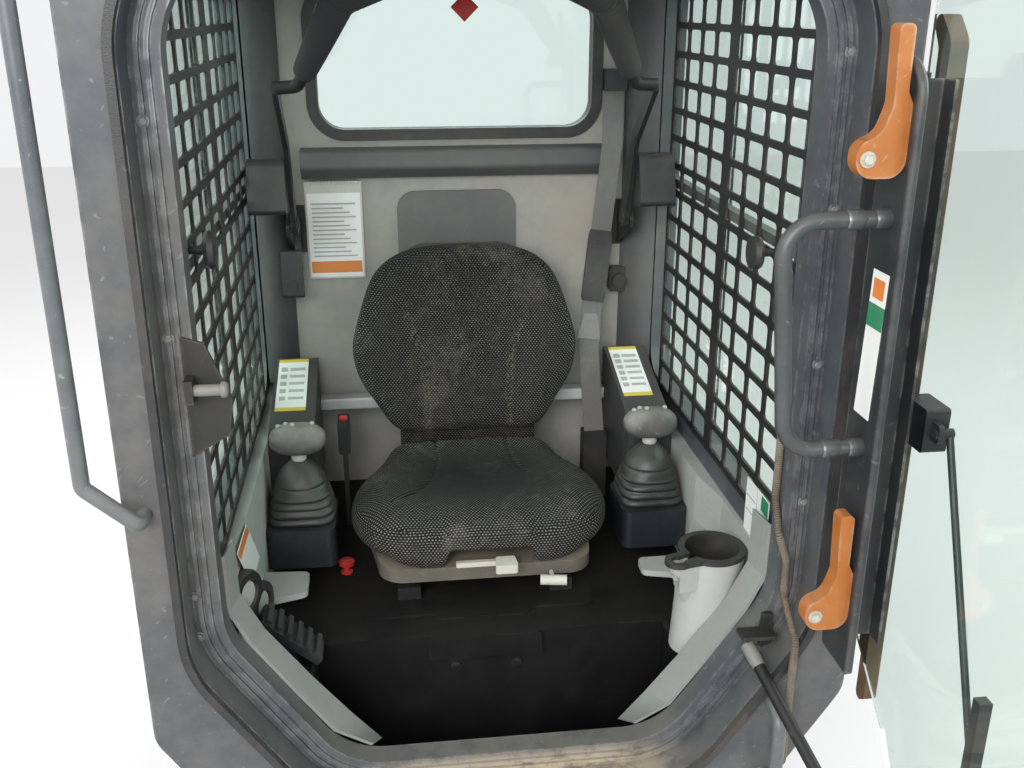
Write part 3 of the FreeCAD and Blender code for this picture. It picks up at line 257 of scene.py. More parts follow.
def finish(name, group, colour, dust, bump=0.35, depth=0.0006, specular=0.5, metallic=0.0, sheen=0.0, **given):
    """Material whose Principled shader is fed by an effect group. given holds the group's other
    inputs in small letters. specular, metallic and sheen go on the shader's own sockets."""
    material = bpy.data.materials.new(name)
    material.use_nodes = True
    tree = material.node_tree
    shader = tree.nodes["Principled BSDF"]
    values = {label.capitalize(): (*value, 1) if isinstance(value, tuple) else value
              for label, value in {"colour": colour, "dust": dust, **given}.items()}
    made = add_node(tree, "ShaderNodeGroup", {"node_tree": group}, values)
    for label, value in (("Specular IOR Level", specular), ("Metallic", metallic), ("Sheen Weight", sheen)):
        shader.inputs[label].default_value = value
    for label, own in (("Colour", "Base Color"), ("Roughness", "Roughness"), ("Metal", "Metallic")):
        if label in made.outputs:
            tree.links.new(made.outputs[label], shader.inputs[own])
    raised = add_node(tree, "ShaderNodeBump", None, {"Strength": bump, "Distance": depth,
                                                     "Height": made.outputs["Height"]})
    tree.links.new(raised.outputs[0], shader.inputs["Normal"])
    return material


def dress(material, *nodes):
    """Gives a finish to CAD nodes."""
    for label in nodes:
        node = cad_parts[label]
        node.data.materials.clear()
        node.data.materials.append(material)


coat = build_coat()
shell_grey = (0.062, 0.070, 0.080)
lining_grey = (0.33, 0.325, 0.30)
lining_face = 0.812
shell_coat = finish("shell_coat", coat, shell_grey, (0.17, 0.155, 0.13), rub=0.35, dirt=0.35, gloss=0.36)
lining = finish("rear_lining", coat, lining_grey, (0.34, 0.30, 0.235), bare=(0.12, 0.11, 0.10), rub=0.12, dirt=0.7,
                gloss=0.6)
lining_tree = lining.node_tree
along = parts(add_node(lining_tree, "ShaderNodeTexCoord").outputs["Object"])[1]
outside = ramp(along, lining_face, lining_face + 0.002)
lining_tree.links.new(blend_colour(outside, (*lining_grey, 1), (*shell_grey, 1)),
                      lining_tree.nodes["Group"].inputs["Colour"])
dress(shell_coat, "side_frame_left", "side_frame_right", "roof_panel", "base_rails")
dress(lining, "rear_wall")

# Door ring and striker. The ring is a thick pressed steel frame in slate grey with a ridged rebate
# for the door, held by hexagon screws. Feet have left dust on its sill. The striker's sleeve is
# turned from dull steel and sits on a bracket.
ring_coat = finish("ring_coat", coat, (0.066, 0.072, 0.080), (0.50, 0.41, 0.29), bare=(0.30, 0.31, 0.32),
                   rub=0.8, dirt=0.12, gloss=0.30, tread=0.85, specular=0.42)
dress(ring_coat, "door_ring")


def put(piece, material, body, slot, *replaced):
    """Finishes a new piece, ties it to its body and hides the CAD nodes it replaces. slot is not used."""
    piece.data.materials.append(material)
    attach(piece, body)
    if replaced:
        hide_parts(*replaced)
    return piece


def grid_faces(rows, columns, ring, capped=False):
    """Faces of a grid of rows x columns points. ring joins the last column to the first."""
    down = np.arange(rows - 1)[:, None] * columns
    across = np.arange(columns if ring else columns - 1)[None, :]
    following = (across + 1) % columns
    quads = np.stack([down + across, down + following, down + columns + following, down + columns + across], -1)
    faces = quads.reshape(-1, 4).tolist()
    if capped:
        faces.append(list(range(columns))[::-1])
        faces.append(list(range((rows - 1) * columns, rows * columns)))
    return faces


def turned(profile, sides, centre=(0, 0, 0), axis=(0, 0, 1)):
    """Surface of revolution: radius and height of a profile carried round an axis. Points, faces."""
    profile = np.array(profile, float)
    angle = np.linspace(0, 2 * np.pi, sides, endpoint=False)
    axis = np.array(axis, float) / np.linalg.norm(axis)
    side = np.cross(axis, (0, 0, 1) if abs(axis[2]) < 0.9 else (0, 1, 0))
    side /= np.linalg.norm(side)
    other = np.cross(axis, side)
    spoke = np.cos(angle)[:, None] * side + np.sin(angle)[:, None] * other
    points = profile[:, 0, None, None] * spoke[None] + profile[:, 1, None, None] * axis + np.array(centre)
    return points.reshape(-1, 3), grid_faces(len(profile), sides, True, True)


def gathered(shapes):
    """Several (points, faces) joined into one."""
    starts = np.cumsum([0] + [len(points) for points, faces in shapes])
    faces = [[corner + int(start) for corner in face] for (points, listed), start in zip(shapes, starts)
             for face in listed]
    return np.concatenate([points for points, listed in shapes]), faces


def screws(name, places, axis, radius, material, body, slot):
    """Hexagon heads, each on a round washer, standing along an axis at a list of places."""
    washer = np.array([(1.5, 0), (1.5, 0.3), (0.6, 0.34)]) * radius
    head = np.array([(1, 0.3), (1, 0.95), (0.8, 1.1)]) * radius
    shapes = [turned(profile, sides, place, axis) for place in places for profile, sides in ((washer, 20), (head, 6))]
    return put(mesh_object(name, *gathered(shapes), 30), material, body, slot)


dull_steel = finish("dull_steel", coat, (0.16, 0.165, 0.17), (0.24, 0.20, 0.15), rub=0.6, dirt=0.4, gloss=0.34)
ring_front = -0.1402
ring_screws = ((-0.471, 1.008), (-0.477, 0.599), (-0.477, 0.528), (-0.221, 0.247), (0.212, 0.247), (0.471, 1.165),
               (0.471, 0.930), (0.471, 0.700), (-0.471, 1.300), (0.471, 1.380))
screws("ring_screws", [(across, ring_front, up) for across, up in ring_screws], (0, -1, 0), 0.0055, dull_steel,
       "cab", "ring_paint")
pin_profile = [(0.0084, 0), (0.0084, 0.036), (0.0115, 0.037), (0.0115, 0.043), (0.0090, 0.046), (0.0004, 0.0465)]
put(mesh_object("striker_pin", *turned(pin_profile, 28, (-0.440, -0.165, 0.938), (1, 0, 0)), 35), dull_steel, "cab",
    "ring_paint")

# Seals of the door opening and the rear window. Black rubber profile, extruded and cut from the
# roll, is pushed onto the ring's flange and into the edge of the window opening.
def build_moulding():
    """Moulded plastic or rubber: fine cell grain, slow change of tone, dust in patches, scuffs.

    Grain height = distance to the nearest of many small cells. Dust = slow noise plus the
    upward part of the normal. Scuffs = the peaks of a stretched noise."""
    tree, given, result, where, normal = effect("moulding", (
        ("Colour", (0.1, 0.1, 0.1)), ("Dust", (0.3, 0.27, 0.22)), ("Dirt", 0.3), ("Grain", 900.0),
        ("Gloss", 0.5)), metal=False)
    slow = noise(where, 5, 4.0)
    middle = noise(where, 48, 4.0, 0.6)
    cells = joined("ShaderNodeTexVoronoi", {"feature": "F1"}, {"Vector": where, "Scale": given["Grain"]})
    dusty = reckon("MULTIPLY_ADD", parts(normal)[2], 0.2, slow)
    dusty = reckon("MULTIPLY_ADD", middle, 0.4, dusty)
    dusty = times(ramp(dusty, 0.55, 1.0), given["Dirt"])
    stretched = joined("ShaderNodeMapping", None, {
        "Vector": where, "Scale": (1, 0.08, 1), "Rotation": (0.3, 0.5, 0.6)})[0]
    scuff = times(ramp(noise(stretched, 120, 1.0, 0.4), 0.70, 0.77), given["Dirt"])
    colour = blend_colour(dusty, mottled(given["Colour"], slow, 0.18), given["Dust"])
    colour = blend_colour(times(scuff, 0.7), colour, given["Dust"])
    rough = reckon("MULTIPLY_ADD", dusty, 0.3, given["Gloss"])
    rough = reckon("MULTIPLY_ADD", middle, 0.12, rough)
    height = reckon("MULTIPLY_ADD", middle, 0.5, cells["Distance"])
    send(tree, result, Colour=colour, Roughness=rough, Height=height)
    return tree


moulding = build_moulding()
seal_rubber = finish("seal_rubber", moulding, (0.02, 0.02, 0.022), (0.12, 0.10, 0.08), dirt=0.4, grain=600.0,
                     gloss=0.4)
dress(seal_rubber, "door_seal", "rear_window_seal")

# Black coated steel: punched guards, brackets, seat box, footwell and hinges, bolted or welded to
# the shell, with brown dust in the corners and on what lies flat. The door's outer rail has rusted.
black_coat = finish("black_coat", coat, (0.013, 0.0135, 0.015), (0.065, 0.056, 0.045), bare=(0.14, 0.12, 0.10),
                    rub=0.5, dirt=0.2, gloss=0.36, specular=0.4)
floor_coat = finish("floor_coat", coat, (0.005, 0.005, 0.0055), (0.030, 0.026, 0.022), bare=(0.06, 0.055, 0.05),
                    rub=0.35, dirt=0.35, gloss=0.45, specular=0.28)
dress(black_coat, "mesh_guard_left", "mesh_guard_right", "bar_brackets", "restraint_bar", "hinge_brackets",
      "strut_bracket", "seat_rails", "door_striker")
dress(floor_coat, "footwell_tub", "seat_box", "service_lid")
rusty_coat = finish("rusty_coat", coat, (0.022, 0.020, 0.019), (0.13, 0.065, 0.03), bare=(0.22, 0.11, 0.05),
                    rub=0.9, dirt=0.8, gloss=0.4)
dress(rusty_coat, "door_outer_rail")


# Windows. Laminated and toughened panes with a green cast and a dusty film. The side windows
# slide in rails and have a moulded latch knob each, and the rear pane is held by its seal.
def glass(name, tint, roughness):
    """Clear pane: a Principled shader with full transmission that lets the lamps' light through."""
    material = bpy.data.materials.new(name)
    material.use_nodes = True
    tree = material.node_tree
    shader = tree.nodes["Principled BSDF"]
    output = tree.nodes["Material Output"]
    shader.inputs["Base Color"].default_value = (*tint, 1)
    shader.inputs["Transmission Weight"].default_value = 1.0
    shader.inputs["IOR"].default_value = 1.45
    where = add_node(tree, "ShaderNodeTexCoord").outputs["Object"]
    film = ramp(noise(where, 9, 6.0, 0.7), 0.45, 0.8, roughness, roughness + 0.12)
    tree.links.new(film, shader.inputs["Roughness"])
    shade = add_node(tree, "ShaderNodeLightPath")
    clear = add_node(tree, "ShaderNodeBsdfTransparent", None, {"Color": (*tint, 1)})
    both = add_node(tree, "ShaderNodeMixShader", None, {0: shade.outputs["Is Shadow Ray"], 1: shader.outputs[0],
                                                      2: clear.outputs[0]})
    tree.links.new(both.outputs[0], output.inputs["Surface"])
    return material


dress(glass("window_glass", (0.80, 0.93, 0.88), 0.02), "side_windows", "rear_window")
dress(glass("door_glass", (0.84, 0.94, 0.90), 0.01), "door_pane")
black_plastic = finish("black_plastic", moulding, (0.014, 0.015, 0.017), (0.09, 0.08, 0.065), dirt=0.35,
                       grain=750.0, gloss=0.36)
knob_profile = [(0.006, 0.0), (0.007, 0.026), (0.025, 0.029), (0.028, 0.035), (0.026, 0.043), (0.014, 0.045)]
knobs = gathered([turned(knob_profile, 24, (-0.4535, -0.052, 1.111), (1, 0, 0)),
                  turned(knob_profile, 24, (0.4535, 0.014, 1.068), (-1, 0, 0))])
put(mesh_object("window_knobs", *knobs, 30), black_plastic, "cab", "black_plastic")

# Dark trim: corner covers and ledge at the rear window, window rails, access panel and arm rests.
# Injection moulded plastic with a fine grain, clipped or screwed to the shell.
dark_trim = finish("dark_trim", moulding, (0.075, 0.078, 0.080), (0.18, 0.16, 0.13), dirt=0.35, grain=800.0,
                   gloss=0.42)
panel_trim = finish("panel_trim", moulding, (0.105, 0.108, 0.108), (0.2, 0.18, 0.15), dirt=0.4, grain=700.0,
                    gloss=0.5)
dress(dark_trim, "rear_posts", "rear_ledge", "window_rails")
dress(black_plastic, "arm_rests")
dress(panel_trim, "access_panel")


# Booklet: a stack of coated cards on a spiral of steel wire, hung on the lining. Blank fields of
# colour stand for its print, here and on the labels, which are printed film stuck on their plates.
def plain(name, colour, gloss, dirt=0.35, grain=900.0, metallic=0.0):
    """Moulding finish of one colour that dust dulls towards brown grey."""
    dust = tuple(0.55 * part + 0.45 * other for part, other in zip(colour, (0.3, 0.26, 0.2)))
    return finish(name, moulding, colour, dust, metallic=metallic, dirt=dirt, grain=grain, gloss=gloss)


FIELDS = {label: plain("field_" + label, colour, 0.4, dirt) for label, colour, dirt in (
    ("white", (0.80, 0.80, 0.78), 0.15), ("yellow", (0.66, 0.50, 0.05), 0.35), ("orange", (0.72, 0.22, 0.04), 0.35),
    ("green", (0.02, 0.22, 0.10), 0.35))}
FIELDS["grey"] = plain("field_grey", (0.40, 0.40, 0.39), 0.45)


def fields(name, corner, across, up, bands, body, rise=0.0006):
    """Flat plate of blank colour fields. bands = (colour, from x, to x, from y, to y) in shares of the
    plate; each field is a thin block raised along across x up, and later fields lie on earlier ones."""
    corner, across, up = (np.array(item, float) for item in (corner, across, up))
    out = np.cross(across, up)
    out /= np.linalg.norm(out)
    square = np.array([[0, 0], [1, 0], [1, 1], [0, 1]])
    shapes = []
    tones = []
    for layer, (tone, left, right, low, high) in enumerate(bands, start=1):
        share = np.array([left, low]) + square * [right - left, high - low]
        base = corner + share[:, :1] * across + share[:, 1:] * up
        points = np.concatenate([base, base + out * rise * (1 + 0.35 * layer)])
        shapes.append((points, [[4, 5, 6, 7], [0, 1, 5, 4], [1, 2, 6, 5], [2, 3, 7, 6], [3, 0, 4, 7]]))
        tones += [tone] * 5
    piece = mesh_object(name, *gathered(shapes))
    used = sorted(set(tones))
    for tone in used:
        piece.data.materials.append(FIELDS[tone])
    piece.data.polygons.foreach_set("material_index", [used.index(tone) for tone in tones])
    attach(piece, body)
    return piece


paper = plain("paper", (0.56, 0.55, 0.50), 0.7, 0.6)
dress(paper, "booklet")
low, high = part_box("booklet")
margin, head = 0.004, 0.026
printed = [("white", 0, 1, 0, 1), ("orange", 0.02, 0.98, 0.05, 0.19), ("white", 0.02, 0.98, 0.0, 0.05)]
printed += [("grey", 0.08, 0.90 - 0.11 * (line % 3), 0.245 + 0.052 * line, 0.262 + 0.052 * line)
            for line in range(13)]
fields("booklet_page", (low[0] + margin, low[1] - 0.0002, low[2] + margin), (high[0] - low[0] - 2 * margin, 0, 0),
       (0, 0, high[2] - low[2] - margin - head), printed, "cab")


def path_frames(path, level):
    """Tangent, side and up vectors along a path, with the side square to a level vector."""
    tangent = np.gradient(path, axis=0)
    tangent /= np.linalg.norm(tangent, axis=1, keepdims=True)
    side = np.cross(tangent, np.array(level, float))
    side /= np.linalg.norm(side, axis=1, keepdims=True)
    return tangent, side, np.cross(side, tangent)


def swept(path, outline, level=(0, 1, 0), scale=1.0, capped=True):
    """Closed outline of (side, up) points carried along a path. scale may change from row to row."""
    tangent, side, up = path_frames(path, level)
    scale = np.broadcast_to(np.asarray(scale, float), (len(path),))[:, None, None]
    points = path[:, None] + scale * (outline[None, :, :1] * side[:, None] + outline[None, :, 1:] * up[:, None])
    return points.reshape(-1, 3), grid_faces(len(path), len(outline), True, capped)


def circle(radius, sides):
    """Points of a circle about the origin."""
    angle = np.linspace(0, 2 * np.pi, sides, endpoint=False)
    return np.stack([radius * np.cos(angle), radius * np.sin(angle)], -1)


wire = plain("wire", (0.45, 0.45, 0.44), 0.3, 0.2, metallic=0.9)
turns, coil = 15, 0.0065
phase = np.linspace(0, 2 * np.pi * turns, turns * 14)
spiral = np.stack([low[0] + 0.008 + (high[0] - low[0] - 0.016) * phase / phase[-1],
                   (low[1] + high[1]) / 2 - coil * np.cos(phase), high[2] - 0.003 + coil * np.sin(phase)], -1)
put(mesh_object("booklet_spiral", *swept(spiral, circle(0.0008, 5), (1, 0, 0)), 60), wire, "cab", "paper")


# Pale grey mouldings: corner trims, both side panels with their shelves, and the cup pod, all
# grained plastic. Two round vents sit on the left panel, and blank fields stand for its labels.
sage = finish("sage_trim", moulding, (0.38, 0.39, 0.375), (0.30, 0.28, 0.24), dirt=0.35, grain=520.0,
              gloss=0.40)
trim_grey = finish("trim_grey", moulding, (0.25, 0.265, 0.26), (0.24, 0.22, 0.19), dirt=0.45, grain=520.0,
                   gloss=0.42)
dress(sage, "side_panel_left", "side_panel_right")
dress(trim_grey, "corner_trims")
pod_levels = [(0.030, 0.358, 0.004, 0.345), (0.046, 0.358, 0.004, 0.350), (0.0545, 0.374, 0.010, 0.440),
              (0.0590, 0.382, 0.014, 0.5325), (0.0560, 0.382, 0.014, 0.5328)]
pod_turn = np.linspace(0, 2 * np.pi, 64, endpoint=False)
pod_skin = np.array([[(across + radius * math.cos(turn), along + radius * math.sin(turn), up) for turn in pod_turn]
                     for radius, across, along, up in pod_levels]).reshape(-1, 3)
put(mesh_object("cup_pod_skin", pod_skin, grid_faces(5, 64, True), 40), sage, "cab", "sage_trim")
riser_plugs = gathered([turned([(0.0105, 0), (0.0105, 0.003), (0.007, 0.004), (0.0004, 0.0042)], 24,
                               (across, 0.0998, 0.270), (0, -1, 0)) for across in (-0.070, 0.045)])
put(mesh_object("riser_plugs", *riser_plugs, 40), black_plastic, "cab", "black_plastic")
dress(black_plastic, "cup_liner", "wall_cases")
vent_rim = [(0.030, -0.030), (0.041, -0.026), (0.043, 0.000), (0.040, 0.006), (0.027, 0.006), (0.024, 0.001)]
vent_face = [(0.024, 0.001), (0.022, 0.003), (0.008, 0.0045), (0.0005, 0.0048)]
vents = (((-0.424, 0.000, 0.512), (0.90, -0.42, 0)), ((-0.414, 0.092, 0.436), (0.95, -0.30, 0)))
put(mesh_object("vent_rims", *gathered([turned(vent_rim, 40, place, axis) for place, axis in vents]), 35),
    black_plastic, "cab", "black_plastic")
put(mesh_object("vent_faces", *gathered([turned(vent_face, 40, place, axis) for place, axis in vents]), 35),
    sage, "cab", "sage_trim")
fields("left_label", (-0.4262, -0.040, 0.612), (0, 0.118, -0.008), (0, 0.120, -0.130),
       [("white", 0, 1, 0, 1), ("orange", 0.02, 0.98, 0.02, 0.20)], "cab", -0.0006)
fields("guard_label", (0.4457, 0.036, 0.552), (0, -0.108, 0), (0, 0, 0.112),
       [("white", 0, 1, 0, 1), ("grey", 0.49, 0.51, 0.04, 0.96), ("green", 0.68, 0.98, 0.74, 0.98),
        ("grey", 0.05, 0.45, 0.48, 0.50), ("grey", 0.05, 0.45, 0.72, 0.74)], "cab")


# Restraint foam: split sleeves of closed-cell foam slipped over the bent tube, thicker towards
# the middle of the bar and a little creased inside the bend.
def rounded_path(points, bend, step):
    """Evenly spaced points along straight runs that are joined by circular arcs of one radius."""
    points = [np.array(point, float) for point in points]
    pieces = [points[0][None]]
    for before, here, after in zip(points, points[1:], points[2:]):
        back = (before - here) / np.linalg.norm(before - here)
        ahead = (after - here) / np.linalg.norm(after - here)
        half = math.acos(float(np.clip(back @ ahead, -1, 1))) / 2
        reach = bend / math.tan(half)
        inward = (back + ahead) / np.linalg.norm(back + ahead)
        centre = here + inward * bend / math.sin(half)
        sweep = np.linspace(-1, 1, 15)[:, None] * (math.pi / 2 - half)
        start = here + back * reach
        end = here + ahead * reach
        along = (end - start) / np.linalg.norm(end - start)
        pieces.append(centre - inward * bend * np.cos(sweep) + along * bend * np.sin(sweep))
    pieces.append(points[-1][None])
    line = np.concatenate(pieces)
    length = np.concatenate([[0], np.cumsum(np.linalg.norm(np.diff(line, axis=0), axis=1))])
    even = np.linspace(0, length[-1], max(int(length[-1] / step), 4))
    return np.stack([np.interp(even, length, line[:, axis]) for axis in range(3)], -1)


foam_black = finish("foam", moulding, (0.030, 0.031, 0.033), (0.11, 0.10, 0.085), dirt=0.5, grain=420.0,
                    gloss=0.72, bump=0.6)
sleeves = []
for side in (-1, 1):
    low_end, middle, high_end = [np.array(point) * (side, 1, 1) for point in
                                 ((0.316, 0.448, 1.300), (0.228, 0.330, 1.452), (0.120, 0.236, 1.500))]
    line = rounded_path([low_end + 0.14 * (middle - low_end), middle, middle + 0.82 * (high_end - middle)],
                        0.045, 0.0025)
    share = np.linspace(0, 1, len(line))
    girth = 0.021 + 0.014 * share ** 0.8
    girth *= 1 + 0.020 * np.sin(150 * share) * np.exp(-((share - 0.62) / 0.12) ** 2)
    girth *= 1 - 0.22 * np.exp(-share * len(line) / 1.4) - 0.16 * np.exp(-(1 - share) * len(line) / 1.4)
    sleeves.append(swept(line, circle(1.0, 28), (0, 0, 1), girth))
foam = put(mesh_object("foam_sleeves", *gathered(sleeves), 60), foam_black, "restraint", "foam", "restraint_foam")


# Operator's seat. Polyurethane foam cushions under a black knitted fabric with rows of pale
# flecks, sewn in at the grooves, on a stamped steel pan and back shell.
def build_weave():
    """Knitted fabric: pale wedge flecks in offset rows on a dark ground, fuzz, dirt and rubbed seams.

    The pattern lies on the two axes that the normal is turned from least. A fleck is where
    |across| / 0.34 + |up| / 0.30 stays under 1 in a cell of 6.8 x 4.4 mm. wear, an attribute
    from 0 to 1, fades flecks on sat-on parts, and rub lays pale dust on the seams."""
    tree, given, result, where, normal = effect("weave", (
        ("Colour", (0.012, 0.012, 0.012)), ("Fleck", (0.26, 0.245, 0.21)), ("Dust", (0.30, 0.27, 0.22)),
        ("Across", 0.0068), ("Up", 0.0044)), metal=False)
    place = parts(where)
    size = parts(joined("ShaderNodeVectorMath", {"operation": "ABSOLUTE"}, {0: normal})[0])
    sideways = reckon("GREATER_THAN", size[0], reckon("MAXIMUM", size[1], size[2]))
    lying = reckon("GREATER_THAN", size[2], size[1])
    across = joined("ShaderNodeMix", None, {0: sideways, 2: place[0], 3: place[1]})[0]
    upright = times(lying, reckon("SUBTRACT", 1.0, sideways))
    up = joined("ShaderNodeMix", None, {0: upright, 2: place[2], 3: place[1]})[0]
    bent = noise(where, 14, 2.0)
    up = reckon("DIVIDE", reckon("MULTIPLY_ADD", bent, 0.006, up), given["Up"])
    row = reckon("FLOOR", up)
    across = reckon("MULTIPLY_ADD", reckon("MODULO", row, 2.0), 0.5,
                    reckon("DIVIDE", reckon("MULTIPLY_ADD", bent, 0.004, across), given["Across"]))
    off_across = reckon("ABSOLUTE", reckon("SUBTRACT", reckon("FRACT", across), 0.5))
    off_up = reckon("ABSOLUTE", reckon("SUBTRACT", reckon("FRACT", up), 0.5))
    away = reckon("ADD", reckon("DIVIDE", off_across, 0.36), reckon("DIVIDE", off_up, 0.34))
    fleck = ramp(away, 1.0, 0.72)
    wear = add_node(tree, "ShaderNodeAttribute", {"attribute_name": "wear"}).outputs["Fac"]
    rub = add_node(tree, "ShaderNodeAttribute", {"attribute_name": "rub"}).outputs["Fac"]
    middle = noise(where, 60, 4.0, 0.65)
    fuzz = noise(where, 900, 2.0)
    seen = times(fleck, reckon("SUBTRACT", 1.0, wear))
    seen = times(seen, ramp(middle, 0.25, 0.60, 0.55, 1.0))
    colour = blend_colour(seen, mottled(given["Colour"], fuzz, 0.6), given["Fleck"])
    slow = noise(where, 7, 5.0, 0.6)
    dusty = reckon("MULTIPLY_ADD", ramp(reckon("MULTIPLY_ADD", middle, 0.4, slow), 0.70, 1.0), 0.16,
                   times(rub, ramp(noise(where, 150, 4.0, 0.7), 0.47, 0.66)))
    colour = blend_colour(dusty, colour, given["Dust"])
    rough = reckon("MULTIPLY_ADD", seen, -0.25, 0.92)
    height = reckon("MULTIPLY_ADD", fuzz, 0.25, times(fleck, 0.8))
    send(tree, result, Colour=colour, Roughness=rough, Height=height)
    return tree


weave = build_weave()
fabric = finish("seat_fabric", weave, (0.012, 0.012, 0.012), (0.30, 0.27, 0.22), bump=0.8, depth=0.0012,
                specular=0.15, sheen=0.02)


def smooth_step(value):
    """3 v^2 - 2 v^3, where v is the value held between 0 and 1."""
    value = np.clip(value, 0, 1)
    return value * value * (3 - 2 * value)


def closed_outline(table, count):
    """Mirrored outline through (height, half width) pairs, resampled evenly and rounded off."""
    table = np.array(table, float)
    side = np.stack([table[:, 1], table[:, 0]], -1)
    line = np.concatenate([side, (side * (-1, 1))[::-1], side[:1]])
    length = np.concatenate([[0], np.cumsum(np.linalg.norm(np.diff(line, axis=0), axis=1))])
    even = np.linspace(0, length[-1], count, endpoint=False)
    points = np.stack([np.interp(even, length, line[:, 0]), np.interp(even, length, line[:, 1])], -1)
    for smoothing in range(6):
        points = (np.roll(points, 2, 0) + np.roll(points, 1, 0) + points + np.roll(points, -1, 0)
                  + np.roll(points, -2, 0)) / 5
    return points


def crowned(outline, centre, front, back, edge=0.42, crown=0.75, rows=44):
    """Closed pad: the outline shrinks to its centre as sin(a) ** edge (half of edge behind) while the
    face falls away from front(x, y) or back(x, y) as |cos(a)| ** crown, for a from 0 to pi."""
    angle = np.linspace(0.004, np.pi - 0.004, rows)[:, None]
    power = np.where(angle < np.pi / 2, edge, np.asarray(edge) / 2)
    flat = np.array(centre) + (np.sin(angle) ** power)[..., None] * (outline[None] - np.array(centre))
    near = front(flat[..., 0], flat[..., 1])
    far = back(flat[..., 0], flat[..., 1])
    middle = far + 0.4 * (near - far)
    share = np.abs(np.cos(angle)) ** crown
    depth = np.where(angle < np.pi / 2, middle + (near - middle) * share, middle + (far - middle) * share)
    return np.concatenate([flat, depth[..., None]], -1).reshape(-1, 3), grid_faces(rows, len(outline), True, True)


def baked(piece):
    """Puts the result of a piece's modifiers into its mesh."""
    graph = bpy.context.evaluated_depsgraph_get()
    made = bpy.data.meshes.new_from_object(piece.evaluated_get(graph))
    piece.modifiers.clear()
    piece.data = made


def corners_of(mesh):
    """Array of a mesh's points."""
    points = np.empty(len(mesh.vertices) * 3)
    mesh.vertices.foreach_get("co", points)
    return points.reshape(-1, 3)


def swollen(piece, voxel, cap):
    """Remeshes a pad evenly, lets it swell as cloth under pressure, keeps every move under cap."""
    remesh = piece.modifiers.new("even", "REMESH")
    remesh.mode = "VOXEL"
    remesh.voxel_size = voxel * 1
    baked(piece)
    start = corners_of(piece.data)
    cloth = piece.modifiers.new("swell", "CLOTH")
    cloth.settings.use_pressure = True
    cloth.settings.uniform_pressure_force = 4
    cloth.settings.effector_weights.gravity = 0
    for step in range(1, 21):
        bpy.context.scene.frame_set(step)
    graph = bpy.context.evaluated_depsgraph_get()
    moved = corners_of(piece.evaluated_get(graph).data) - start
    piece.modifiers.clear()
    bpy.context.scene.frame_set(1)
    length = np.linalg.norm(moved, axis=1, keepdims=True)
    moved *= np.minimum(1, cap / np.maximum(length, 1e-6))
    piece.data.vertices.foreach_set("co", (start + moved).ravel())
    finer = piece.modifiers.new("finer", "SUBSURF")
    finer.levels = 1
    finer.render_levels = 1
    baked(piece)


def distance_to(line, across, along):
    """Distance in a plane from each point to a polyline."""
    nearest = np.full(across.shape, 9.0)
    for start, end in zip(line, line[1:]):
        start, end = np.array(start), np.array(end)
        run = end - start
        share = np.clip(((across - start[0]) * run[0] + (along - start[1]) * run[1]) / (run @ run), 0, 1)
        nearest = np.minimum(nearest, np.hypot(across - start[0] - share * run[0], along - start[1] - share * run[1]))
    return nearest


def upholstered(name, shape, cap, grooves, to_row, wear, node):
    """Pad in its own frame (across, along, depth), swollen, grooved, leaned into place and dressed."""
    piece = mesh_object(name, *shape)
    swollen(piece, 0.006, cap)
    points = corners_of(piece.data)
    facing = np.empty(len(points) * 3)
    piece.data.vertices.foreach_get("normal", facing)
    facing = facing.reshape(-1, 3)
    front = smooth_step((facing[:, 2] - 0.1) / 0.5)
    rub = np.zeros(len(points))
    for line, deep, wide, dusty in grooves:
        away = distance_to(line, points[:, 0], points[:, 1])
        points[:, 2] -= front * deep * np.exp(-(away / wide) ** 2)
        rub = np.maximum(rub, 0.38 * front * dusty * np.exp(-((away - 0.004) / 0.004) ** 2))
    worn = wear(points[:, 0], points[:, 1], facing)
    piece.data.vertices.foreach_set("co", to_row(points).ravel())
    for label, values in (("wear", worn), ("rub", rub)):
        layer = piece.data.attributes.new(label, "FLOAT", "POINT")
        layer.data.foreach_set("value", np.clip(values, 0, 1).astype(np.float32))
    piece.data.shade_smooth()
    piece.data.update()
    put(piece, fabric, "cab", "seat_fabric", node)
    return piece


def cushion_top(across, along):
    """Top of the seat cushion: bolsters at the sides, a roll in front and a dish in the middle."""
    bolster = 0.010 * smooth_step((np.abs(across) - 0.115) / 0.07)
    dish = 0.013 * np.exp(-(across / 0.13) ** 2 - ((along - 0.46) / 0.11) ** 2)
    rear = 0.017 * smooth_step((along - 0.53) / 0.07)
    return 0.513 + bolster - dish + rear + 0.006 * np.exp(-((along - 0.285) / 0.05) ** 2)


def cushion_foot(across, along):
    """Underside of the cushion, raised in front over the adjuster."""
    gap = smooth_step((0.265 - along) / 0.02) * smooth_step((across + 0.085) / 0.015) \
        * smooth_step((0.100 - across) / 0.015)
    skirt = 0.016 * smooth_step((0.215 - along) / 0.02) * (1 - gap)
    return 0.4345 + 0.022 * gap - skirt


def cushion_wear(across, along, facing):
    """Flecks stay bright on the front roll, the sides and the rim, and are rubbed dark where one sits."""
    sat = np.exp(-(across / 0.17) ** 4 - ((along - 0.42) / 0.13) ** 4)
    return 0.30 + 0.62 * sat - 0.25 * smooth_step((0.26 - along) / 0.05) - 0.10 * smooth_step(np.abs(across) / 0.2)


